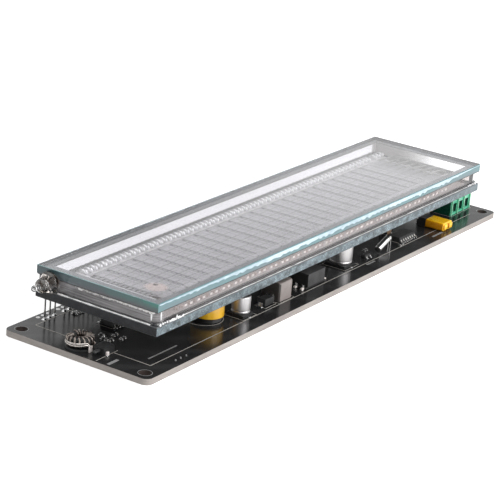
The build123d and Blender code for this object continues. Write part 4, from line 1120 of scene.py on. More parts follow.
@dataclass
class BoardPrint:
    """The board's printed lines, pads and solder."""

    ink_thickness: float = 0.03
    line_width: float = 0.22
    outline_left: float = 7.6
    outline_near: float = 4.9
    outline_back: float = 40.9
    outline_right: float = 172.0
    hole_inset: float = 3.25
    hole_ring: float = 1.78
    pad_row_back: float = 43.7
    pad_radius: float = 0.62
    hole_line: float = 0.12
    joint_reach: float = 0.16
    joint_rise: float = 0.17
    marks: Places = ((14.7, 2.5), (16.8, 2.5), (19.0, 2.4))
    bars: tuple[tuple[Pair, Pair, float], ...] = (
        ((10.6, 7.8), (22.4, 7.8), 0.45), ((0.9, 12.7), (4.9, 12.7), 0.9), ((26.0, 38.4), (33.0, 38.4), 0.7),
        ((58.0, 14.2), (64.0, 14.2), 0.6), ((108.5, 4.1), (113.0, 4.1), 0.6),
        ((144.0, 2.6), (150.0, 2.6), 0.7))

    def build(self) -> None:
        """Make every printed piece."""
        self.ink()
        self.faint_bars()
        self.pad_row()
        self.joints()

    def _line(self, form: Form, start: Pair, end: Pair, width: float) -> None:
        """Add one straight printed line between two places."""
        level = BOARD_HIGH.z / MM
        a, b = at(*start, level), at(*end, level)
        run = (b - a).normalized()
        side = Vector((-run.y, run.x, 0)) * mm(width / 2)
        form.prism([a - side, b - side, b + side, a + side], UP * mm(self.ink_thickness))

    def _circle(self, form: Form, centre: Pair, radius: float, width: float) -> None:
        """Add one printed ring."""
        form.ring(mm(radius - width / 2), mm(radius + width / 2), mm(self.ink_thickness),
                  at(*centre, BOARD_HIGH.z / MM), 48)

    def ink(self) -> None:
        """Print the long outline, the rings and the outlines of the parts."""
        form = Form("board_ink_lines")
        left, near = self.outline_left, self.outline_near
        right, back = self.outline_right, self.outline_back
        for start, end in (((left, near), (right, near)), ((left, near), (left, 16.4)),
                           ((left, 31.5), (left, back)), ((left, back), (26.0, back))):
            self._line(form, start, end, self.line_width)
        self._circle(form, (42.2, 14.0), 5.4, self.line_width)
        self._line(form, (0.6, 16.1), (9.4, 16.3), 0.16)
        for low, high in (solid_boxes(name)[0] for name in (
                "small_capacitor_base", "large_capacitor_base", "choke_body", "logic_chip",
                "amplifier_chip", "terminal_block", "diode_body")):
            self._frame(form, low, high, 0.45, 0.15)
        form.finish("board_mask", [INK])

    def _frame(self, form: Form, low: Vector, high: Vector, gap: float, width: float) -> None:
        """Print a rectangle round a part."""
        x0, y0 = ((low.x - BOARD_LOW.x) / MM - gap, (low.y - BOARD_LOW.y) / MM - gap)
        x1, y1 = ((high.x - BOARD_LOW.x) / MM + gap, (high.y - BOARD_LOW.y) / MM + gap)
        self._line(form, (x0, y0), (x1, y0), width)
        self._line(form, (x0, y1), (x1, y1), width)
        self._line(form, (x0, y0 + width), (x0, y1 - width), width)
        self._line(form, (x1, y0 + width), (x1, y1 - width), width)

    def faint_bars(self) -> None:
        """Print the rings round the holes, the plain bars and the small marks."""
        form = Form("board_ink_bars")
        board_width = (BOARD_HIGH.y - BOARD_LOW.y) / MM
        board_length = (BOARD_HIGH.x - BOARD_LOW.x) / MM
        for along in (self.hole_inset, board_length - self.hole_inset):
            for across in (self.hole_inset, board_width - self.hole_inset):
                self._circle(form, (along, across), self.hole_ring, self.hole_line)
        for start, end, width in self.bars:
            self._line(form, start, end, width)
        for along, across in self.marks:
            self._line(form, (along - 0.45, across - 0.35), (along + 0.45, across + 0.35), 0.4)
        form.finish("board_mask", [FAINT_INK])

    def pad_row(self) -> None:
        """Add the second row of round pads, one behind each lead."""
        form = Form("back_pad_row")
        top = mm(0.05)
        outer, inner = mm(self.pad_radius), mm(self.pad_radius * 0.45)
        profile = [(0, -mm(0.01)), (outer, -mm(0.01)), (outer, top * 0.5), (inner, top), (0, top * 0.2)]
        for low, high in solid_boxes("lead_solder_joints"):
            along = ((low.x + high.x) / 2 - BOARD_LOW.x) / MM
            form.lathe(profile, at(along, self.pad_row_back, BOARD_HIGH.z / MM), steps=12)
        form.finish("tin", [SOLDER])

    def joints(self) -> None:
        """Wet each small foot and terminal on the board with solder."""
        form = Form("solder_fillets")
        for node in ("chip_terminals", "small_outline_leads", "transistor_leads", "diode_leads",
                     "capacitor_tabs", "transformer_pins", "menu_switch_pins", "choke_tabs"):
            for low, high in solid_boxes(node):
                reach = Vector((mm(self.joint_reach), mm(self.joint_reach), 0))
                pad_low, pad_high = low - reach, high + reach
                pad_low.z, pad_high.z = BOARD_HIGH.z, BOARD_HIGH.z + mm(self.joint_rise)
                form.box(pad_low, pad_high, edge=mm(0.07), segments=1)
        form.finish("tin", [SOLDER], crease=60)


@dataclass
class GlassEnvelope:
    """The cover, the seals and the breaks of the glass, with painted highlights on the breaks and at the
    corners and painted shade in the corner gaps.
    """

    edge_round: float = 0.14
    seat_gap: float = 0.02
    break_top: float = 0.28
    break_low: float = 0.35
    break_high: float = 1.25
    break_least: float = 0.12
    break_depth: float = 0.03
    break_inset: float = 0.3
    break_runs: int = 220
    break_rise: float = 45.0
    break_fade: float = 163.0
    break_fall: float = 22.0
    bead_radius: float = 0.16
    bead_step: float = 0.6
    bead_least: float = 0.05
    side_wall: float = 2.0
    end_wall: float = 2.8
    fillet_shift: float = 0.42
    fillet_size: Pair = (0.95, 0.18)
    fleck_pitch: float = 0.62
    fleck_sizes: Pair = (0.1, 0.6)
    blobs: Places = ((0.9, 0.5), (2.1, 0.34), (3.0, 0.26), (3.9, 0.36), (4.9, 0.24))
    squiggle_pitch: float = 0.42
    squiggle_size: Pair = (0.34, 0.22)
    squiggles: Places = ((-0.15, 1.0), (0.25, 6.0))
    # Turns and profile of the painted highlights round the wall's near corners.
    highlight_turns: Pair = (14.0, 76.0)
    highlight_profile: Places = ((0, 0), (0.2, 0.2), (0.24, 1.2), (0.2, 2.3), (0, 2.5))
    corner_round: float = 2.2
    # Profile and reach of the painted shade in the corner gaps.
    gap_shade_profile: Places = ((0, -0.3), (1.2, -0.3), (1.35, 0), (1.1, 0.35), (0, 0.35))
    gap_shade_reach: Pair = (2.6, 1.2)

    def build(self) -> None:
        """Make the cover and its edges, then the beads and lumps of the seals."""
        self.low, self.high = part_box("cover_glass")
        self.wall_low, self.wall_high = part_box("side_wall_frame")
        self.base_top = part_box("base_glass")[1].z
        self.cover()
        self.seal_layer()
        self.breaks()
        self.seal_beads()
        self.flecks()
        self.corner_blobs()
        self.squiggle()
        self.corner_highlights()
        self.corner_gap_shades()

    def cover(self) -> None:
        """Make the cover pane: clear faces, green cut edges and a painted highlight on its upper left arris.
        """
        form = Form("cover_pane")
        form.box(self.low + UP * mm(self.seat_gap), self.high, edge=mm(self.edge_round))
        form.mesh.normal_update()
        for face in form.mesh.faces:
            normal = face.normal
            # Bevel faces that look up and to the left take the painted highlight.
            if 0.3 < normal.z < 0.95 and normal.x < -0.3:
                face.material_index = 3
            elif abs(normal.z) < 0.95:
                face.material_index = 1 if abs(normal.x) > abs(normal.y) else 2
        form.finish("cover_glass", [COVER_CLEAR, COVER_END, COVER_LONG, COVER_ARRIS_HIGHLIGHT],
                    stands_for=("cover_glass",))

    def seal_layer(self) -> None:
        """Lay the sealing glass between the cover and the wall, out to the cover's edge."""
        seal_low, seal_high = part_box("upper_frit_seal")
        outer = mm(self.edge_round)
        form = Form("seal_sheet")
        low = Vector((self.low.x + outer, self.low.y + outer, seal_low.z))
        high = Vector((self.high.x - outer, self.high.y - outer, seal_high.z))
        inner = self.wall_low + Vector((mm(self.end_wall), mm(self.side_wall), 0))
        form.frame(low, high, inner - low)
        form.finish("frit", [SEAL_LAYER], stands_for=("upper_frit_seal",))
        fillet = Form("seal_fillet_end")
        along, level = inner.x + mm(self.fillet_shift), seal_low.z - mm(0.1)
        fillet.sweep([Vector((along, self.wall_low.y + mm(3.2), level)),
                      Vector((along, self.wall_high.y - mm(9.0), level))],
                     scaled([self.fillet_size]))
        fillet.finish("frit", [SEAL_AND_GLINT], crease=80)

    def breaks(self) -> None:
        """Lay the scalloped break along both long edges of the cover, its pale colour a painted highlight."""
        for side in Side:
            form = Form(f"cover_break_{side.name.lower()}")
            face = self.low.y if side is Side.NEAR else self.high.y
            top = self.high.z - mm(self.break_top)
            inset = mm(self.edge_round + self.break_inset)
            start, end = self.low.x + inset, self.high.x - inset
            place = Matrix.LocRotScale(Vector(((start + end) / 2, face, top)), None,
                                       Vector(((end - start) / 2, 1, 1)))
            made = bmesh.ops.create_grid(form.mesh, x_segments=self.break_runs, y_segments=1, size=1.0,
                                         matrix=place @ Matrix.Rotation(math.pi / 2, 4, "X"))
            for vert in made["verts"]:
                vert.co.z = top - (mm(self._height((vert.co.x - start) / MM)) if vert.co.z < top else 0.0)
            form.thicken(list(form.mesh.faces), Vector((0, side.value * mm(self.break_depth), 0)))
            # The break takes the painted highlight.
            form.finish("cover_glass", [COVER_BREAK_HIGHLIGHT])

    def _height(self, along: float) -> float:
        """Give the depth of the break in millimetres at a distance along the edge."""
        least = self.break_least
        swell = self.break_low + (self.break_high - self.break_low) * min(1.0, along / self.break_rise)
        swell *= min(1.0, max(least, (self.break_fade - along) / self.break_fall))
        waves = abs(noise.noise(Vector((along * 0.35, 0, 3.1))))
        waves += 0.5 * abs(noise.noise(Vector((along, 7, 0))))
        return max(least, swell * (0.55 + 0.9 * waves))

    def seal_beads(self) -> None:
        """Run the irregular beads of sealing glass along the seams, their pale colour a painted glint."""
        base_low, base_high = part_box("base_glass")
        low, high, level = self.wall_low, self.wall_high, self.base_top
        left, near, upper = base_low.x + mm(0.35), low.y - mm(0.4), high.z + mm(0.1)
        seams = {
            "lower_seam_end": ((left, high.y - mm(6), level), (left, low.y + mm(1.4), level), 1.35),
            "lower_seam_near": ((low.x + mm(10), near, level), (high.x - mm(4), near, level), 0.72),
            "lower_seam_right": ((base_high.x, low.y + mm(3), level),
                                 (base_high.x, high.y - mm(3), level), 0.9),
            "upper_seam_near": ((low.x + mm(2), low.y - mm(0.2), upper),
                                (high.x - mm(2), low.y - mm(0.2), upper), 0.35),
        }
        for index, (name, (first, last, share)) in enumerate(seams.items()):
            form = Form(name)
            start, end = Vector(first), Vector(last)
            count = int((end - start).length / mm(self.bead_step))
            path, sizes = [], []
            for step in range(count + 1):
                wave = noise.noise(Vector((step * 0.21, index * 5.0, 0)))
                ripple = noise.noise(Vector((step * 0.8, index * 3.0, 9)))
                path.append(start.lerp(end, step / count) + UP * mm(0.05) * wave)
                width = mm(self.bead_radius) * share * (2.0 + 0.9 * wave + 0.4 * ripple)
                width = max(width, mm(self.bead_least))
                sizes.append((width, width * 1.1))
            form.sweep(path, sizes, sides=6, across=UP)
            form.finish("frit", [SEAL_AND_GLINT], crease=80)

    def flecks(self) -> None:
        """Scatter small lumps of sealing glass along the wall's top at its left end."""
        form = Form("seal_flecks")
        start, end = self.wall_low.y + mm(1.2), self.wall_high.y - mm(10.0)
        least, most = self.fleck_sizes
        for index in range(int((end - start) / mm(self.fleck_pitch))):
            along = start + mm(self.fleck_pitch) * index
            near = 1.0 - (along - start) / (end - start)
            size = 0.38 + 0.2 * near + 0.62 * noise.noise(Vector((index * 0.9, 4.0, 0)))
            if size < least:
                continue
            drop = 0.3 + 0.35 * abs(noise.noise(Vector((index * 0.7, 9.0, 2.0))))
            centre = Vector((self.wall_low.x - mm(0.02), along, self.wall_high.z - mm(drop)))
            form.lump(centre, mm(min(size, most)), 10)
        form.roughen(mm(0.16), 2200.0, 3.0)
        form.finish("frit", [SEAL_FLECK], crease=80)

    def _ends(self, inset: float = 0.0) -> tuple[tuple[int, float], tuple[int, float]]:
        """Give each end of the wall: its inward sign and its place, moved inward in millimetres."""
        return (1, self.wall_low.x + mm(inset)), (-1, self.wall_high.x - mm(inset))

    def corner_blobs(self) -> None:
        """Drop the blobs of glass beside the wall's near corners."""
        form = Form("corner_blobs")
        for side, x in self._ends():
            for offset, radius in self.blobs:
                centre = Vector((x + side * mm(offset), self.wall_low.y - mm(0.35), self.base_top + mm(0.12)))
                form.lump(centre, mm(radius), 14, foot=0.55)
        form.roughen(mm(0.12), 1800.0)
        form.finish("frit", [SEAL_AND_GLINT], crease=80)

    def squiggle(self) -> None:
        """Run two wavy threads of glass along the near wall's foot."""
        form = Form("seal_squiggle")
        left, near = self.wall_low.x, self.wall_low.y - mm(0.62)
        for level, seed in self.squiggles:
            points = []
            for step in range(15):
                wave = 1.25 * noise.noise(Vector((step * 0.77, seed, 0)))
                points.append(Vector((left + mm(4.6 + self.squiggle_pitch * step), near,
                                      self.base_top + mm(level + wave))))
            form.sweep(rounded(points, mm(0.2), 3), scaled([self.squiggle_size]), sides=6, across=UP)
        form.finish("frit", [SEAL_AND_GLINT], crease=80)

    def corner_highlights(self) -> None:
        """Stand two columns of painted highlight round each of the wall's near corners, where its rounded
        glass catches the light.
        """
        form = Form("corner_highlights")
        reach = mm(self.corner_round + 0.05)
        for side, x in self._ends(self.corner_round):
            for degrees in self.highlight_turns:
                turn = math.radians(degrees)
                foot = Vector((x - side * reach * math.cos(turn),
                               self.wall_low.y + mm(self.corner_round) - reach * math.sin(turn),
                               self.base_top + mm(0.9)))
                form.lathe(scaled(self.highlight_profile), foot, steps=12)
        form.finish("frit", [SEAL_AND_GLINT], crease=80)

    def corner_gap_shades(self) -> None:
        """Fill the gaps under the near corners and at the far left corner with dark lumps of painted shade.
        """
        form = Form("corner_gap_shade")
        low, high = self.wall_low, self.wall_high
        for side, x in self._ends():
            centre = Vector((x + side * mm(0.75), low.y + mm(0.75), self.base_top + mm(0.3)))
            form.lathe(scaled(self.gap_shade_profile), centre, steps=20)
        inward, outward = self.gap_shade_reach
        back = min(self.high.y - mm(0.3), high.y + mm(outward))
        form.box(Vector((low.x - mm(0.15), high.y - mm(inward), self.base_top + mm(0.1))),
                 Vector((low.x + mm(1.7), back, high.z - mm(0.02))), edge=mm(0.3))
        form.finish("frit", [GAP_SHADE])


@dataclass
class Interior:
    """What lies inside the glass: print, segments, grid mesh, cement, filaments and stains."""

    print_thickness: float = 0.03
    print_inset: Pair = (2.8, 2.0)
    print_clearance: float = 0.3
    row_count: int = 14
    row_gap: float = 0.34
    segment_inset: float = 0.22
    segment_thickness: float = 0.02
    window_near: float = 3.72
    window_back: float = 0.82
    mesh_pitch: float = 0.31
    mesh_wire: float = 0.08
    mesh_levels: Pair = (0.09, 0.04)
    skirt_thickness: float = 0.05
    filament_wire: float = 0.11
    bead_spacing: float = 2.25
    bead_profile: Places = ((0, -0.45), (0.56, -0.4), (0.52, 0.1), (0.3, 0.32), (0, 0.38))
    dot_level: float = 0.47
    dot_shape: float = 0.62
    stain_place: Pair = (18.0, 12.2)
    stain_radius: float = 3.4
    mark_place: Pair = (19.2, 13.3)
    mark_radius: float = 0.8

    def build(self) -> None:
        """Make every piece in the glass."""
        self.base_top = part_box("base_glass")[1].z
        self.print_sheet()
        self.segments()
        self.grid_mesh()
        self.leg_beads()
        self.leg_dots()
        self.filament_wires()
        self.stains()

    def print_sheet(self) -> None:
        """Lay the printed sheet on the base glass."""
        low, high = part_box("side_wall_frame")
        form = Form("inner_print")
        along, across = (mm(inset) + mm(self.print_clearance) for inset in self.print_inset)
        top = self.base_top + mm(self.print_thickness)
        form.box(Vector((low.x + along, low.y + across, self.base_top)),
                 Vector((high.x - along, high.y - across, top)))
        form.finish("anode_layer", [PRINT])

    def segments(self) -> None:
        """Lay the phosphor segments, one stack under each grid."""
        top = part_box("anode_plate")[1].z
        form = Form("phosphor_segments")
        for low, high in solid_boxes("control_grids"):
            y0, y1 = self._window(low, high)
            pitch = (y1 - y0) / self.row_count
            for row in range(self.row_count):
                start = y0 + row * pitch + mm(self.row_gap) / 2
                form.box(Vector((low.x + mm(self.segment_inset), start, top)),
                         Vector((high.x - mm(self.segment_inset), start + pitch - mm(self.row_gap),
                                 top + mm(self.segment_thickness))))
        form.finish("anode_layer", [PHOSPHOR])

    def _window(self, low: Vector, high: Vector) -> Pair:
        """Give the near and back edges of a grid, without its legs."""
        return low.y + mm(self.window_near), high.y - mm(self.window_back)

    def grid_mesh(self) -> None:
        """Fill each grid's window with its fine mesh."""
        form = Form("grid_mesh")
        half = mm(self.mesh_wire) / 2
        for low, high in solid_boxes("control_grids"):
            y0, y1 = self._window(low, high)
            z0, z1 = (high.z - mm(depth) for depth in self.mesh_levels)
            across = round((high.x - low.x) / mm(self.mesh_pitch))
            for index in range(1, across):
                x = low.x + (high.x - low.x) * index / across
                form.box(Vector((x - half, y0, z0)), Vector((x + half, y1, z1)))
            count = round((y1 - y0) / mm(self.mesh_pitch))
            for index in range(1, count):
                y = y0 + (y1 - y0) * index / count
                form.box(Vector((low.x, y - half, z0)), Vector((high.x, y + half, z1)))
            self._skirt(form, low, high)
        form.finish("grid_metal", [MESH])

    def _skirt(self, form: Form, low: Vector, high: Vector) -> None:
        """Carry a grid's mesh down to its near feet."""
        pitch, half = mm(self.mesh_pitch), mm(self.mesh_wire) / 2
        rise = UP * mm(self.skirt_thickness)
        start = Vector((0, low.y + mm(3.7), high.z - mm(0.02)))
        end = Vector((0, low.y + mm(0.5), self.base_top + mm(0.22)))
        across = round((high.x - low.x) / pitch)
        for index in range(across + 1):
            x = low.x + half + (high.x - low.x - 2 * half) * index / across
            top, foot = Vector((x - half, 0, 0)) + start, Vector((x - half, 0, 0)) + end
            form.prism([top, foot, foot + rise, top + rise], Vector((2 * half, 0, 0)))
        count = round((end - start).length / pitch)
        for index in range(count + 1):
            _, y, z = start.lerp(end, index / count)
            form.box(Vector((low.x, y - half, z)), Vector((high.x, y + half, z + rise.z)))

    def filament_wires(self) -> None:
        """Draw the coated filaments, thin as hairs."""
        form = Form("filament_wires")
        for low, high in solid_boxes("filaments"):
            across, level = (low.y + high.y) / 2, (low.z + high.z) / 2
            form.sweep([Vector((low.x, across, level)), Vector((high.x, across, level))],
                       [(mm(self.filament_wire), mm(self.filament_wire))], sides=6, across=Vector((0, 1, 0)))
        form.finish("filament", [WIRE], stands_for=("filaments",))

    def _legs(self) -> list[Pair]:
        """Give the place of each near leg of each grid, along and across."""
        half = mm(self.bead_spacing / 2)
        return [((low.x + high.x) / 2 + side * half, low.y) for low, high in solid_boxes("control_grids")
                for side in (-1, 1)]

    def leg_beads(self) -> None:
        """Set a bead of cement over the foot of each near leg."""
        form = Form("grid_leg_beads")
        for x, y in self._legs():
            centre = Vector((x, y + mm(0.1), self.base_top + mm(0.45)))
            form.lathe(scaled(self.bead_profile), centre, steps=12)
        form.roughen(mm(0.08), 1500.0, 2.0)
        form.finish("frit", [CEMENT], crease=80)

    def leg_dots(self) -> None:
        """Set a bright dot in the near wall before each near leg."""
        form = Form("leg_dots")
        low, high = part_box("side_wall_frame")
        level = high.z - self.dot_level * (high.z - low.z)
        for x, _ in self._legs():
            size = 0.50 + 0.14 * noise.noise(Vector((x * 900, 2.0, 0)))
            width, height = mm(size), mm(size * self.dot_shape)
            form.box(Vector((x - width, low.y + mm(0.2), level - height)),
                     Vector((x + width, low.y + mm(0.32), level + height)), edge=mm(0.05))
        form.finish("frit", [SEAL_AND_GLINT], crease=60)

    def stains(self) -> None:
        """Lay the getter's stain and its dark mark under the cover."""
        level = (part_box("cover_glass")[0].z - BOARD_LOW.z) / MM - 0.06
        for name, place, radius, finish in (
                ("getter_stain", self.stain_place, self.stain_radius, Film("getter_film")),
                ("getter_mark", self.mark_place, self.mark_radius,
                 Film("getter_mark", colour=(0.10, 0.07, 0.06)))):
            form = Form(name)
            centre = at(*place, level)
            form.lathe([(0, 0), (mm(radius), 0), (mm(radius), mm(0.01)), (0, mm(0.01))], centre, steps=40)
            finish = Film(finish.name, colour=finish.colour, centre=(centre.x, centre.y), radius=radius)
            form.finish("getter", [finish])


@dataclass
class Leads:
    """The bent leads with their curled tabs, and the solder at their feet."""

    corner: float = 0.55
    thickness: float = 0.2
    curl: Places = ((0.55, 0.95), (0.1, 0.55), (0.35, 0.12), (1.2, 0.75), (1.7, 0.85))
    run: Places = ((1.7, 0.85), (2.2, 0.95), (3.1, 0.0))
    cone_steps: int = 12
    cone: Places = ((1.0, 0.0), (0.97, 0.12), (0.62, 0.34), (0.42, 0.68), (0.36, 0.94), (0.0, 1.0))

    def build(self) -> None:
        """Make the leads and their solder."""
        self.strips()
        self.cones()

    def strips(self) -> None:
        """Bend every lead from a flat strip."""
        form = Form("lead_strips")
        foot = solid_boxes("lead_solder_joints")[0][1].z - mm(0.5)
        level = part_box("base_glass")[1].z + mm(0.1)
        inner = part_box("side_wall_frame")[1].y - mm(1.8)
        corner, thick = mm(self.corner), mm(self.thickness)
        for low, high in solid_boxes("lead_frame"):
            x, width = (low.x + high.x) / 2, high.x - low.x
            tip, leg = low.y + mm(0.2), high.y - thick / 2
            curl, run = ([Vector((x, tip + mm(across), level + mm(rise))) for across, rise in points]
                         for points in (self.curl, self.run))
            run.append(Vector((x, inner, level)))
            bend = [Vector((x, inner, level)), Vector((x, leg, level)), Vector((x, leg, foot))]
            # The curls take the painted highlight.
            form.sweep(rounded(curl, corner, 3), [(width * 1.15, thick * 1.2)], sides=4, finish=1)
            form.sweep(rounded(run, corner, 3), [(width, thick)], sides=4, finish=2)
            form.sweep(rounded(bend, corner, 3), [(width, thick)], sides=4)
        form.finish("lead_metal", [LEAD, CURL_HIGHLIGHT, RUN], stands_for=("lead_frame",))

    def cones(self) -> None:
        """Turn a solder cone round the foot of each lead."""
        form = Form("solder_cones")
        for low, high in solid_boxes("lead_solder_joints"):
            foot, top = (high.x - low.x) / 2, high.z - low.z
            profile = [(0, 0)] + [(foot * share, top * level) for share, level in self.cone]
            form.lathe(profile, foot_of(low, high), steps=self.cone_steps)
        form.finish("solder", [SOLDER], stands_for=("lead_solder_joints",), crease=50)


@dataclass
class ExhaustTip:
    """The melted exhaust tube at the glass's left end.

    The profiles are pairs of radius and distance along the tube: the dome's from its root, the blob's
    from its start and the nib's from the tube's end.
    """

    root: float = 3.4
    lift: float = 0.25
    neck: float = 1.05
    dome: Places = ((1.05, -0.7), (2.0, -0.3), (2.85, 0.5), (2.7, 1.3), (2.2, 2.0), (1.6, 2.45), (0, 2.5))
    blob_start: float = 2.2
    blob: Places = ((0, 0), (1.2, 0.05), (1.6, 0.7), (2.0, 1.4), (1.75, 2.1), (1.15, 2.7), (0.6, 3.1))
    nib: Places = ((0.6, -1.3), (0.95, -0.8), (0.8, -0.25), (0, -0.08))

    def build(self) -> None:
        """Make the smoky dome, the clear blob and its drawn nib."""
        low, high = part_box("exhaust_tube")
        root = mm(self.root)
        origin = Vector((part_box("cover_glass")[0].x + root, (low.y + high.y) / 2,
                         (low.z + high.z) / 2 + mm(self.lift)))
        left, start, reach = Vector((-1, 0, 0)), root + mm(self.blob_start), origin.x - low.x
        form = Form("exhaust_tip")
        dome = [(0, 0), (mm(self.neck), 0)] + [(radius, root + along) for radius, along in scaled(self.dome)]
        form.lathe(dome, origin, steps=36, axis=left, finish=1)
        blob = [(radius, start + along) for radius, along in scaled(self.blob)]
        blob += [(radius, reach + along) for radius, along in scaled(self.nib)]
        form.lathe(blob, origin, steps=36, axis=left)
        form.roughen(mm(0.28), 420.0, 4.0)
        form.finish("exhaust_glass", [TIP_CLEAR, TIP_SMOKY], stands_for=("exhaust_tube",), crease=80)


@dataclass
class Toroid:
    """The wound ring at the left end."""

    wire: float = 0.46
    clearance: float = 0.24
    bore: float = 1.6
    turns: int = 15
    wound_angle: float = 322.0
    runs: int = 16
    squareness: float = 0.62
    wobble: float = 0.06
    strands: Places = ((0.55, 0.0), (1.05, 0.12))
    strand_runs: int = 14
    strand_angles: Pair = (138.0, 108.0)
    clip_shift: float = -1.45
    clip_overhang: float = 0.08

    def build(self) -> None:
        """Wind the wire, lay the thick strands and plate the clips."""
        low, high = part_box("toroid_core")
        centre = (low + high) / 2
        outer = (high.x - low.x) / 2 + mm(self.clearance)
        self.winding(centre, outer, (high.z - low.z) / 2 + mm(self.clearance))
        self.thick_strands(centre, outer + mm(0.3), low.z)
        self.clips(low.y)

    def winding(self, centre: Vector, outer: float, rise: float) -> None:
        """Wind the wire round the core and bring both ends to their clips.

        Args:
            centre: Middle of the core.
            outer: Outer radius of the winding.
            rise: Half of the winding's height.
        """
        inner = mm(self.bore) - mm(self.clearance)
        middle, half = (outer + inner) / 2, (outer - inner) / 2
        start, count = math.radians(90 + (360 - self.wound_angle) / 2), self.turns * self.runs
        path = []
        for step in range(count + 1):
            angle = start + math.radians(self.wound_angle) * (step / count)
            turn = 2 * math.pi * step / self.runs
            across = math.copysign(abs(math.cos(turn)) ** self.squareness, math.cos(turn))
            up = math.copysign(abs(math.sin(turn)) ** self.squareness, -math.sin(turn))
            radius = middle + half * across + mm(self.wobble) * noise.noise(Vector((step * 0.35, 2.0, 0)))
            path.append(Vector((centre.x + radius * math.cos(angle), centre.y + radius * math.sin(angle),
                                centre.z + rise * up)))
        form = Form("toroid_wire")
        form.cord(path, mm(self.wire))
        for end, clip in ((path[0], 1), (path[-1], 0)):
            low, high = solid_boxes("toroid_clips")[clip]
            foot = (low + high) / 2
            route = rounded([end, Vector((end.x, foot.y, end.z)), Vector((foot.x, foot.y, high.z)),
                             Vector((foot.x, foot.y, low.z + mm(0.5)))], mm(0.5), 4)
            form.cord(route, mm(self.wire), across=Vector((1, 0, 0)))
        form.finish("winding_wire", [ENAMEL], stands_for=("toroid_winding",), crease=60)

    def thick_strands(self, centre: Vector, radius: float, floor: float) -> None:
        """Lay two thick strands round the near left of the winding, down to the near clip."""
        low, high = min(solid_boxes("toroid_clips"), key=lambda box: box[0].y)
        first, sweep = self.strand_angles
        form = Form("toroid_strands")
        for rise, shift in self.strands:
            path = []
            for step in range(self.strand_runs + 1):
                turn = math.radians(first + sweep * step / self.strand_runs)
                path.append(Vector((centre.x + radius * math.cos(turn), centre.y + radius * math.sin(turn),
                                    floor + mm(rise) + mm(0.25) * (step / self.strand_runs) ** 2)))
            path.append(Vector((low.x + mm(self.clip_shift + 0.6), low.y - mm(shift),
                                high.z - mm(0.35 - shift))))
            form.cord(path, mm(self.wire))
        form.finish("winding_wire", [STRAND], crease=60)

    def clips(self, core_near: float) -> None:
        """Lay a tinned plate over each clip at the rim of the base."""
        form = Form("toroid_clip_plates")
        side = Vector((0, mm(self.clip_overhang), 0))
        for low, high in solid_boxes("toroid_clips"):
            shift = Vector((mm(self.clip_shift) if low.y < core_near else 0.0, 0, 0))
            form.box(low + shift - side, high + shift + side + UP * mm(0.05), edge=mm(0.06))
        # The plates take the painted glint of the tin.
        form.finish("tin", [TIN_GLINT], stands_for=("toroid_clips",))


@dataclass
class Capacitor:
    """One aluminium can with its bead and its dark sector.

    The bead is pairs of its depth, as a share of the whole depth, and level.
    """

    name: str
    edge: float = 0.4
    bead_depth: float = 0.22
    bead: Places = ((0, 0.25), (0, 0.5), (0.8, 0.65), (1.0, 0.8), (0.8, 0.95), (0, 1.1))
    top_drop: float = 0.06
    sector_reach: float = 0.76
    sector_chord: float = 0.35
    sector_runs: int = 12

    def build(self) -> None:
        """Turn the can and lay the dark sector on its top."""
        low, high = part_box(self.name)
        radius, height = (high.x - low.x) / 2, high.z - low.z
        origin = foot_of(low, high)
        edge, drop = mm(self.edge), mm(self.top_drop)
        form = Form(self.name.replace("_can", "_shell"))
        profile = [(0, 0), (radius - edge * 0.5, 0)]
        profile += [(radius - mm(self.bead_depth) * share, mm(level)) for share, level in self.bead]
        profile += [(radius, height - edge), *rim(radius, height, edge)]
        profile += [(radius * 0.8, height), (radius * 0.78, height - drop), (0, height - drop)]
        form.lathe(profile, origin, steps=64)
        form.finish("can_aluminium", [CAN], stands_for=(self.name,), crease=40)
        mark = Form(self.name.replace("_can", "_sector"))
        reach, chord = radius * self.sector_reach, radius * self.sector_chord
        arc = math.atan2(math.sqrt(reach ** 2 - chord ** 2), chord)
        outline = []
        for step in range(self.sector_runs + 1):
            turn = math.pi - arc + 2 * arc * step / self.sector_runs
            outline.append(origin + Vector((reach * math.cos(turn), reach * math.sin(turn),
                                            height - drop + mm(0.002))))
        mark.prism(outline, UP * mm(0.02))
        mark.finish("can_aluminium", [BLACK])


@dataclass
class DrumTape:
    """The two layers of film tape round the drum inductor, the upper one a little narrower."""

    layer: float = 0.06

    def build(self) -> None:
        """Turn the tape, with the step between its layers."""
        low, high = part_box("drum_tape")
        origin = foot_of(low, high)
        radius, height = (high.x - low.x) / 2, high.z - low.z
        step, inner, edge = mm(self.layer), radius - mm(0.3), mm(0.12)
        form = Form("drum_film_tape")
        form.lathe([(inner, 0), (radius - step, 0), (radius, edge), (radius, height * 0.45),
                    (radius - step, height * 0.47), (radius - step, height - edge),
                    (radius - step * 2, height), (inner, height)], origin, steps=72, closed=True)
        form.finish("tape_yellow", [TAPE], stands_for=("drum_tape",), crease=50)


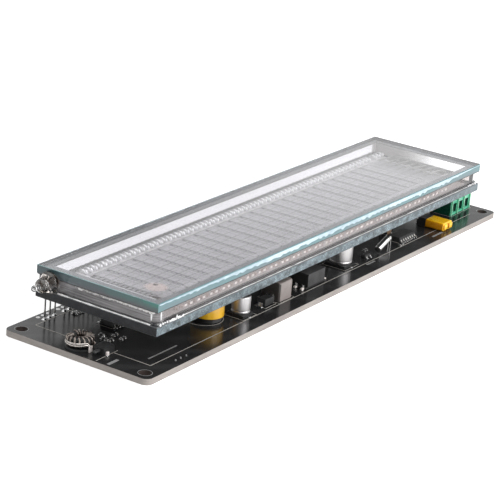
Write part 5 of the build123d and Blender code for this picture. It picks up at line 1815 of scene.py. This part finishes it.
@dataclass
class SmallParts:
    """Details of the crystal, button, switch, chips, jumper, terminal block and transformer."""

    crystal_round: float = 0.3
    crystal_tilt: float = 20.0
    crystal_rim: float = 0.9
    plunger_round: float = 0.3
    plate_round: float = 0.05
    rivet: Places = ((0, 0), (0.26, 0), (0.2, 0.12), (0, 0.16))
    dimple: float = 0.35
    dimple_rise: float = 0.015
    lug_half: float = 1.0
    rib_half: float = 0.28

    def build(self) -> None:
        """Make each detail."""
        self.crystal()
        self.plunger()
        self.chip_marks()
        self.jumper_lugs()
        self.terminal_ribs()
        self.switch_cover()
        self.transformer_lid()

    def crystal(self) -> None:
        """Turn the crystal's can, with its rounded end and its base rim."""
        low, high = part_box("crystal_can")
        radius = (high.y - low.y) / 2
        tilt = math.radians(self.crystal_tilt)
        length = (high.x - low.x - 2 * radius * math.sin(tilt)) / math.cos(tilt)
        axis = Vector((math.cos(tilt), 0, math.sin(tilt)))
        origin = Vector((low.x + radius * math.sin(tilt), (low.y + high.y) / 2,
                         low.z + radius * math.cos(tilt)))
        edge = mm(self.crystal_round)
        profile = [(0, 0)]
        for step in range(5):
            turn = math.radians(QUARTER_STEP * step)
            profile.append((radius - edge + edge * math.sin(turn), edge - edge * math.cos(turn)))
        rim_start, neck = length - mm(self.crystal_rim), radius * 0.97
        profile += [(radius, rim_start), (neck, rim_start + mm(0.05)), (neck, length), (0, length)]
        form = Form("crystal_shell")
        form.lathe(profile, origin, steps=48, axis=axis)
        form.finish("crystal_metal", [CRYSTAL], stands_for=("crystal_can",))

    def plunger(self) -> None:
        """Turn the menu plunger, with its rounded end."""
        low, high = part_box("menu_plunger")
        radius, length, edge = (high.y - low.y) / 2, high.x - low.x, mm(self.plunger_round)
        origin = Vector((high.x, (low.y + high.y) / 2, (low.z + high.z) / 2))
        profile = [(0, 0), (radius, 0), (radius, length - edge), *rim(radius, length, edge), (0, length)]
        form = Form("menu_button_plunger")
        form.lathe(profile, origin, steps=40, axis=Vector((-1, 0, 0)))
        form.finish("plunger_plastic", [PLUNGER], body=Body.BUTTON, stands_for=("menu_plunger",))

    def switch_cover(self) -> None:
        """Lay the black plate on the menu switch, with a rivet at each corner, and paint a highlight on its
        pins.
        """
        low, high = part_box("menu_switch_body")
        form = Form("menu_switch_cover")
        form.box(Vector((low.x + mm(0.25), low.y + mm(0.15), high.z)),
                 Vector((high.x - mm(0.25), high.y - mm(0.15), high.z + mm(0.12))), edge=mm(self.plate_round))
        for x in (low.x + mm(0.6), high.x - mm(0.6)):
            for y in (low.y + mm(0.5), high.y - mm(0.5)):
                form.lathe(scaled(self.rivet), Vector((x, y, high.z + mm(0.11))), steps=12)
        form.finish("black_plastic", [BLACK])
        # Pin tops in the painted glint of the tin.
        bright = Form("switch_pin_tops")
        for low, high in solid_boxes("menu_switch_pins"):
            bright.box(Vector((low.x - mm(0.05), low.y - mm(0.06), low.z + mm(0.1))),
                       Vector((high.x + mm(0.05), high.y + mm(0.06), high.z + mm(0.1))), edge=mm(0.12))
        bright.finish("tin", [TIN_GLINT])

    def transformer_lid(self) -> None:
        """Close the transformer's top with a plain plate and paint a highlight on its corner leads."""
        low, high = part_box("transformer_core")
        form = Form("transformer_lid")
        form.box(Vector((low.x - mm(0.05), low.y - mm(0.05), high.z - mm(0.12))),
                 Vector((high.x + mm(0.05), high.y + mm(0.05), high.z + mm(0.1))), edge=mm(0.08))
        form.finish("ferrite", [FERRITE])
        # Lead tops in the painted glint of the tin.
        bright = Form("transformer_lead_tops")
        for low, high in solid_boxes("transformer_pins"):
            bright.box(low - Vector((mm(0.05), mm(0.06), 0)),
                       Vector((high.x + mm(0.05), high.y + mm(0.06), low.z + mm(0.6))), edge=mm(0.08))
        bright.finish("tin", [TIN_GLINT])

    def chip_marks(self) -> None:
        """Lay a thin ring by the first pin of each package."""
        form = Form("chip_dimples")
        for node in ("logic_chip", "amplifier_chip", "controller_chip", "driver_chips"):
            for low, high in solid_boxes(node):
                outer, inner, rise = mm(self.dimple), mm(self.dimple) * 0.7, mm(self.dimple_rise)
                centre = Vector((low.x + mm(1.0), low.y + mm(1.0), high.z))
                form.ring(inner, outer, rise, centre, 20)
        form.finish("black_plastic", [BLACK])

    def jumper_lugs(self) -> None:
        """Add the two rounded lugs on the jumper's front."""
        low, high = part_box("jumper_cap")
        form = Form("jumper_lugs")
        middle = (low.x + high.x) / 2
        for side in (-1, 1):
            x = middle + side * (high.x - low.x) * 0.26
            form.box(Vector((x - mm(self.lug_half), low.y - mm(0.55), low.z + mm(0.35))),
                     Vector((x + mm(self.lug_half), low.y + mm(0.3), high.z - mm(0.35))), edge=mm(0.45),
                     segments=4)
        form.finish("jumper_yellow", [YELLOW], crease=60)

    def terminal_ribs(self) -> None:
        """Add the upright ribs between and beside the terminal's openings, painted lighter as their
        highlight.
        """
        low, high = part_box("terminal_block")
        form = Form("terminal_ribs")
        poles = solid_boxes("terminal_clamps")
        pitch = poles[1][0].x - poles[0][0].x
        for index in range(len(poles) + 1):
            x = (poles[0][0].x + poles[0][1].x) / 2 + (index - 0.5) * pitch
            x = min(max(x, low.x + mm(0.3)), high.x - mm(0.3))
            form.box(Vector((x - mm(self.rib_half), low.y - mm(0.4), low.z)),
                     Vector((x + mm(self.rib_half), low.y + mm(0.3), high.z - mm(1.7))), edge=mm(0.12))
        form.finish("terminal_green", [RIB_HIGHLIGHT])


@dataclass(frozen=True)
class RoundedNode:
    """A node whose sharp edges are rounded in a joined copy."""

    node: str
    slot: str
    edge: float = 0.08

    def build(self) -> None:
        """Make the rounded copy."""
        form = Form(f"{self.node}_rounded")
        form.take(self.node, mm(self.edge))
        form.finish(self.slot, [NODE_FINISHES[self.node]], stands_for=(self.node,), crease=50)


ROUNDED_NODES = (
    ("menu_switch_body", "black_plastic"), ("toroid_base", "black_plastic"),
    ("small_capacitor_base", "black_plastic"), ("large_capacitor_base", "black_plastic"),
    ("choke_body", "choke_powder", 0.14), ("transformer_core", "ferrite", 0.14),
    ("transformer_deck", "bobbin", 0.06), ("diode_body", "black_plastic", 0.12),
    ("transistor_body", "black_plastic", 0.06), ("logic_chip", "black_plastic", 0.06),
    ("amplifier_chip", "black_plastic", 0.06), ("controller_chip", "black_plastic", 0.05),
    ("driver_chips", "black_plastic", 0.05), ("ceramic_capacitor", "ceramic_tan", 0.08),
    ("chip_bodies", "resistor_black", 0.04), ("chip_terminals", "tin", 0.05),
    ("jumper_cap", "jumper_yellow", 0.12), ("header_block", "black_plastic", 0.08),
    ("terminal_block", "terminal_green", 0.12), ("terminal_screws", "clamp_metal", 0.06),
    ("choke_tabs", "tin", 0.05), ("capacitor_tabs", "tin", 0.05), ("transformer_pins", "tin", 0.05),
)


@dataclass(frozen=True)
class Viewpoint:
    """The camera's place, aim and lens, in millimetres and degrees."""

    place: Triple = (-442.77, -271.38, 191.12)
    aim: Triple = (-20.49, -3.87, 12.0)
    roll: float = 4.96
    lens: float = 142.617
    sensor: float = 36.0

    def build(self) -> None:
        """Set up the camera."""
        data = bpy.data.cameras.new("view")
        data.lens, data.sensor_width, data.sensor_fit = self.lens, self.sensor, "HORIZONTAL"
        data.clip_start = 0.01
        camera = show("view", data)
        back = Vector(self.place) - Vector(self.aim)
        turn = back.to_track_quat("Z", "Y").to_matrix() @ Matrix.Rotation(math.radians(self.roll), 3, "Z")
        camera.matrix_world = Matrix.Translation(Vector(self.place) * MM) @ turn.to_4x4()
        bpy.context.scene.camera = camera


@dataclass(frozen=True)
class Studio:
    """The floor, the lamps and the plain white surroundings."""

    floor_half: float = 6.0
    surround: float = 0.95
    shade_side: float = 0.22
    mirror_side: float = 0.12
    lit_way: Triple = (0.35, -0.75, 0.56)
    far_way: Triple = (0.85, 0.5, 0.0)
    backdrop_rise: Pair = (0.30, 0.37)
    backdrop_side: Pair = (0.52, 0.59)
    key_power: float = 9.0
    top_power: float = 5.0

    def build(self) -> None:
        """Set up the floor, the world and the lamps."""
        form = bmesh.new()
        bmesh.ops.create_grid(form, x_segments=1, y_segments=1, size=self.floor_half,
                              matrix=Matrix.Translation((0, 0, CAD_BOX[0][2] - mm(0.05))))
        data = bpy.data.meshes.new("floor")
        form.to_mesh(data)
        form.free()
        data.materials.append(PaleFloor("floor_paint").material())
        floor = show("floor", data)
        self._world()
        self._lamp("key", (0.15, -0.95, 0.55), 0.9, self.key_power)
        self._lamp("top", (-0.25, 0.25, 1.1), 1.0, self.top_power)

    def _world(self) -> None:
        """Make the surroundings white where they are seen, and darker on one side where they only light."""
        world = bpy.data.worlds.new("surround")
        world.use_nodes = True
        tree = world.node_tree
        tree.nodes.clear()
        path = wire(tree, "LightPath").outputs
        way = object_place(tree)
        lit_way = vector_node(tree, "DOT_PRODUCT", way, self.lit_way)
        far_way = vector_node(tree, "DOT_PRODUCT", way, self.far_way)
        parts = axis_parts(tree, way)
        backdrop = product(tree, range_node(tree, parts["Z"], *self.backdrop_rise, 1.0, 0.0),
                           range_node(tree, far_way, 0.1, 0.6))
        backdrop = larger(tree, backdrop, range_node(tree, parts["Y"], *self.backdrop_side))
        mirrored = larger(tree, range_node(tree, lit_way, -0.1, 0.75, self.mirror_side, 1.0), backdrop)
        soft = product(tree, range_node(tree, lit_way, -0.35, 0.75, self.shade_side, 1.0), self.surround)
        seen = larger(tree, path["Is Camera Ray"], path["Is Transmission Ray"])
        shiny = math_node(tree, "MULTIPLY_ADD", path["Is Glossy Ray"],
                          math_node(tree, "SUBTRACT", mirrored, soft), soft)
        strength = math_node(tree, "MULTIPLY_ADD", seen, math_node(tree, "SUBTRACT", 1.0, shiny), shiny)
        glow = wire(tree, "Background", {"Color": opaque(WHITE), "Strength": strength})
        wire(tree, "OutputWorld", {"Surface": glow.outputs[0]})
        bpy.context.scene.world = world

    def _lamp(self, name: str, place: Triple, size: float, power: float) -> None:
        """Hang a square soft lamp that looks at the object."""
        data = bpy.data.lights.new(name, "AREA")
        data.energy, data.size = power, size
        lamp = show(name, data)
        turn = Vector(place).to_track_quat("Z", "Y").to_matrix().to_4x4()
        lamp.matrix_world = Matrix.Translation(place) @ turn


def dress_nodes() -> None:
    """Give each node of the frame that stays in view its finish."""
    for name, finish in NODE_FINISHES.items():
        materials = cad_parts[name].data.materials
        materials.clear()
        materials.append(finish.material())
        LOG.info("%s: dressed as %s", name, finish.name)


def main() -> None:
    """Build the scene."""
    logging.basicConfig(level=logging.INFO, format="%(name)s %(message)s")
    bpy.context.scene.view_settings.view_transform = "Standard"
    Viewpoint().build()
    Studio().build()
    dress_nodes()
    for assembly in (BoardPrint(), GlassEnvelope(), Interior(), Leads(), ExhaustTip(), Toroid(),
                     Capacitor("small_capacitor_can"), Capacitor("large_capacitor_can"), DrumTape(),
                     SmallParts(), *(RoundedNode(*row) for row in ROUNDED_NODES)):
        assembly.build()


if __name__ == "__main__":
    main()
